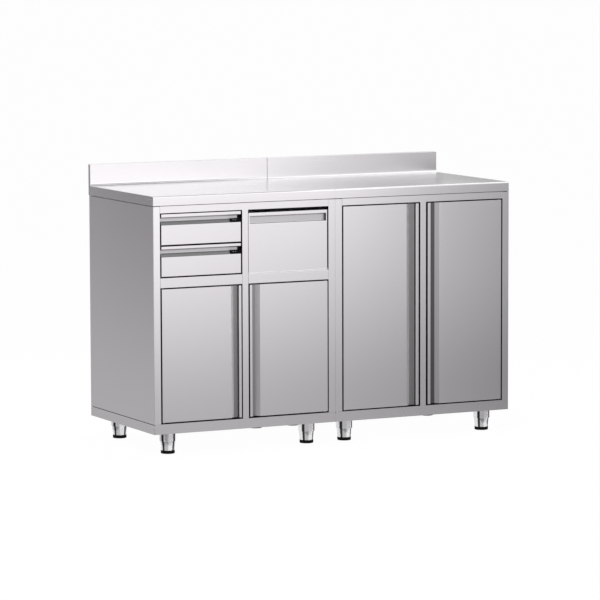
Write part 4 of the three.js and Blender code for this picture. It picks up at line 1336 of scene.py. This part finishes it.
add_channel_front("bin_front", "bin", BIN_GRIP, STEEL_BIN, hem=BIN_HEM, reach=BIN_REACH)
add_softened("bin_hopper", "bin_hopper_sheet", "bin", STEEL_INSIDE)

for cabinet in SPANS:
    for place in LEG_PLACES:
        add_leg(f"{cabinet}_{place}")

for name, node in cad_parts.items():
    if name.endswith("_rod"):
        node.data.materials.clear()
        node.data.materials.append(ZINC)


# Studio

WHITE = (1, 1, 1, 1)
CARD_COLOUR = (1, 0.967, 1, 1)
FLOOR_COLOUR = (*grey(0.86), 1)
FLOOR_REACH = 60
FLOOR_GLOW = 0.97
FILL_LIGHT = 0.55

# Places of the cards round the station
FRONT_CARD_X = (-2.6, 3.4)
FRONT_CARD_Y = -1.42
SIDE_CARD_X = 1.5
SIDE_CARD_REAR = 3
BACK_CARD_Y = 2.4
FLOOR_CARD_X = 0.78
FLOOR_CARD_Z = 2 * MM


def add_stage_plane(name, corners):
    mesh = bpy.data.meshes.new(name)
    mesh.from_pydata(corners, [], [range(len(corners))])
    plane = add_object(name, mesh)
    return plane


def flat_corners(low, high, z):
    (x0, y0), (x1, y1) = low, high
    return [(x0, y0, z), (x1, y0, z), (x1, y1, z), (x0, y1, z)]


def add_floor():
    made, finish = material("pale_studio_floor")
    lit = finish.node("ShaderNodeBsdfDiffuse", inputs={"Color": FLOOR_COLOUR})
    mixed = finish.node(
        "ShaderNodeMixShader",
        inputs={
            0: finish.background_ray() * FLOOR_GLOW,
            1: lit.outputs["BSDF"],
            2: finish.emission(WHITE, 1.0),
        },
    )
    finish.surface(mixed.outputs["Shader"])
    corners = flat_corners((-FLOOR_REACH, -FLOOR_REACH), (FLOOR_REACH, FLOOR_REACH), 0)
    floor = add_stage_plane("studio_floor", corners)
    floor.data.materials.append(made)


def add_world():
    world = bpy.data.worlds.new("studio")
    bpy.context.scene.world = world
    finish = Finish(world)
    seen = finish.background_ray()
    shader = finish.node(
        "ShaderNodeBackground",
        inputs={"Color": WHITE, "Strength": FILL_LIGHT + seen * (1 - FILL_LIGHT)},
    )
    output = finish.node("ShaderNodeOutputWorld")
    finish.tree.links.new(shader.outputs["Background"], output.inputs["Surface"])


def add_card(name, corners, brightness):
    """A card that shows only in reflections; brightness takes its finish and gives the strength."""
    made, finish = material(name)
    finish.surface(finish.emission(CARD_COLOUR, brightness(finish)))
    card = add_stage_plane(name, corners)
    card.data.materials.append(made)
    for ray in ("camera", "diffuse", "shadow", "transmission"):
        setattr(card, f"visible_{ray}", False)


def front_glow(finish):
    """Brightness of the cards in front: it falls off to the right and towards the floor.

    Above the height of the worktop it falls off more sharply. A ridge right of the middle is a
    little brighter, and a corner at the upper right is dimmer.
    """
    least = 0.08
    x, _, z = finish.axes()
    raised = z.ramp(0.9, 1.1)
    across = x.soft_step(middle=1.11 - 0.11 * raised, width=0.29 * raised - 0.54)
    from_left = x.soft_step(middle=-0.78, width=0.08)
    upward = (0.45 + 1.1 * z - 0.15 * z * z).at_most(1.1) + 0.4 * raised
    behind = raised * (0.04 + 0.26 * x + 0.25 * (x - 1.05).at_least(0))
    aside = (x - 0.55) / 0.35
    ridge = (1 - aside * aside).at_least(0) * z.ramp(0.45, 0.8)
    corner = (x - 0.75).at_least(0).at_most(0.5) * (z - 0.45).at_least(0).at_most(0.4)
    lit = across * (0.42 + 0.58 * from_left) * (1 - 1.2 * corner) * (1 + 0.12 * ridge)
    return least + behind + (upward - behind) * lit


def side_glow(finish):
    """Brightness of the cards beside the station: it grows towards the floor."""
    return (0.495 - 0.29 * finish.axes()[Z]).at_least(0.15)


def back_glow(finish):
    """Brightness of the low card that the back of the station reflects."""
    x, _, z = finish.axes()
    return 0.4 + 0.35 * z - 0.1 * x


def rear_glow(finish):
    """Brightness of the card behind the station: it falls off to the right."""
    return 1 - 0.55 * finish.axes()[X].ramp(0.3, 0.8)


def even_glow(strength):
    return lambda finish: strength


def upright_card(name, start, end, height, brightness):
    (x0, y0), (x1, y1) = start, end
    add_card(name, [(x0, y0, 0), (x1, y1, 0), (x1, y1, height), (x0, y0, height)], brightness)


def flat_card(name, low, high, z, brightness):
    add_card(name, flat_corners(low, high, z), brightness)


def add_cards():
    left, right = FRONT_CARD_X
    upright_card("front_card", (left, FRONT_CARD_Y), (right, FRONT_CARD_Y), 2.2, front_glow)
    flat_card("front_floor_card", (left, FRONT_CARD_Y), (right, -0.34), FLOOR_CARD_Z, front_glow)
    for name, hand, height in (("left", -1, 1.15), ("right", 1, 1.17)):
        x = hand * SIDE_CARD_X
        near, far = sorted((x, hand * FLOOR_CARD_X))
        upright_card(f"{name}_card", (x, -0.4), (x, SIDE_CARD_REAR), height, side_glow)
        flat_card(
            f"{name}_floor_card", (near, -0.3), (far, SIDE_CARD_REAR), FLOOR_CARD_Z, side_glow
        )
    upright_card("rear_card", (0.3, 0.9), (1.1, 0.9), 1.9, rear_glow)
    upright_card("back_card", (-1.4, BACK_CARD_Y), (1.4, BACK_CARD_Y), 1.05, back_glow)
    flat_card(
        "back_floor_card", (-FLOOR_CARD_X, 0.36), (FLOOR_CARD_X, BACK_CARD_Y), FLOOR_CARD_Z, back_glow
    )
    flat_card("top_card", (-0.15, -0.75), (0.55, -0.2), 2.3, even_glow(0.1))
    flat_card("cove_card", (-0.3, 0.06), (1.6, 0.14), 2.3, even_glow(0.5))
    flat_card("ceiling_card", (-1.2, -0.35), (2.4, 0.6), 2.4, even_glow(1.32))


def add_lamp(name, place, target, size, energy):
    lamp = bpy.data.lights.new(name, "AREA")
    lamp.size = size
    lamp.energy = energy
    holder = add_object(name, lamp)
    holder.location = place
    aim = Vector(target) - Vector(place)
    holder.rotation_euler = aim.to_track_quat("-Z", "Y").to_euler()
    holder.visible_glossy = False


def add_camera():
    lens = bpy.data.cameras.new("photo_camera")
    lens.lens = LENS
    lens.sensor_width = SENSOR
    yaw = Matrix.Rotation(-CAMERA_YAW, 4, "Z")
    pitch = Matrix.Rotation(math.pi / 2 - CAMERA_PITCH, 4, "X")
    roll = Matrix.Rotation(CAMERA_ROLL, 4, "Z")
    camera = add_object("photo_camera", lens)
    camera.matrix_world = Matrix.Translation(CAMERA_PLACE) @ yaw @ pitch @ roll
    bpy.context.scene.camera = camera


add_floor()
add_world()
add_cards()
add_lamp("key_light", place=(-2.6, -3.2, 3.6), target=(0, 0, 0.6), size=2.4, energy=150)
add_lamp("top_light", place=(0.4, 0.3, 3.4), target=(0, 0, 0.9), size=2.0, energy=60)
add_camera()
bpy.context.scene.view_settings.view_transform = "Standard"
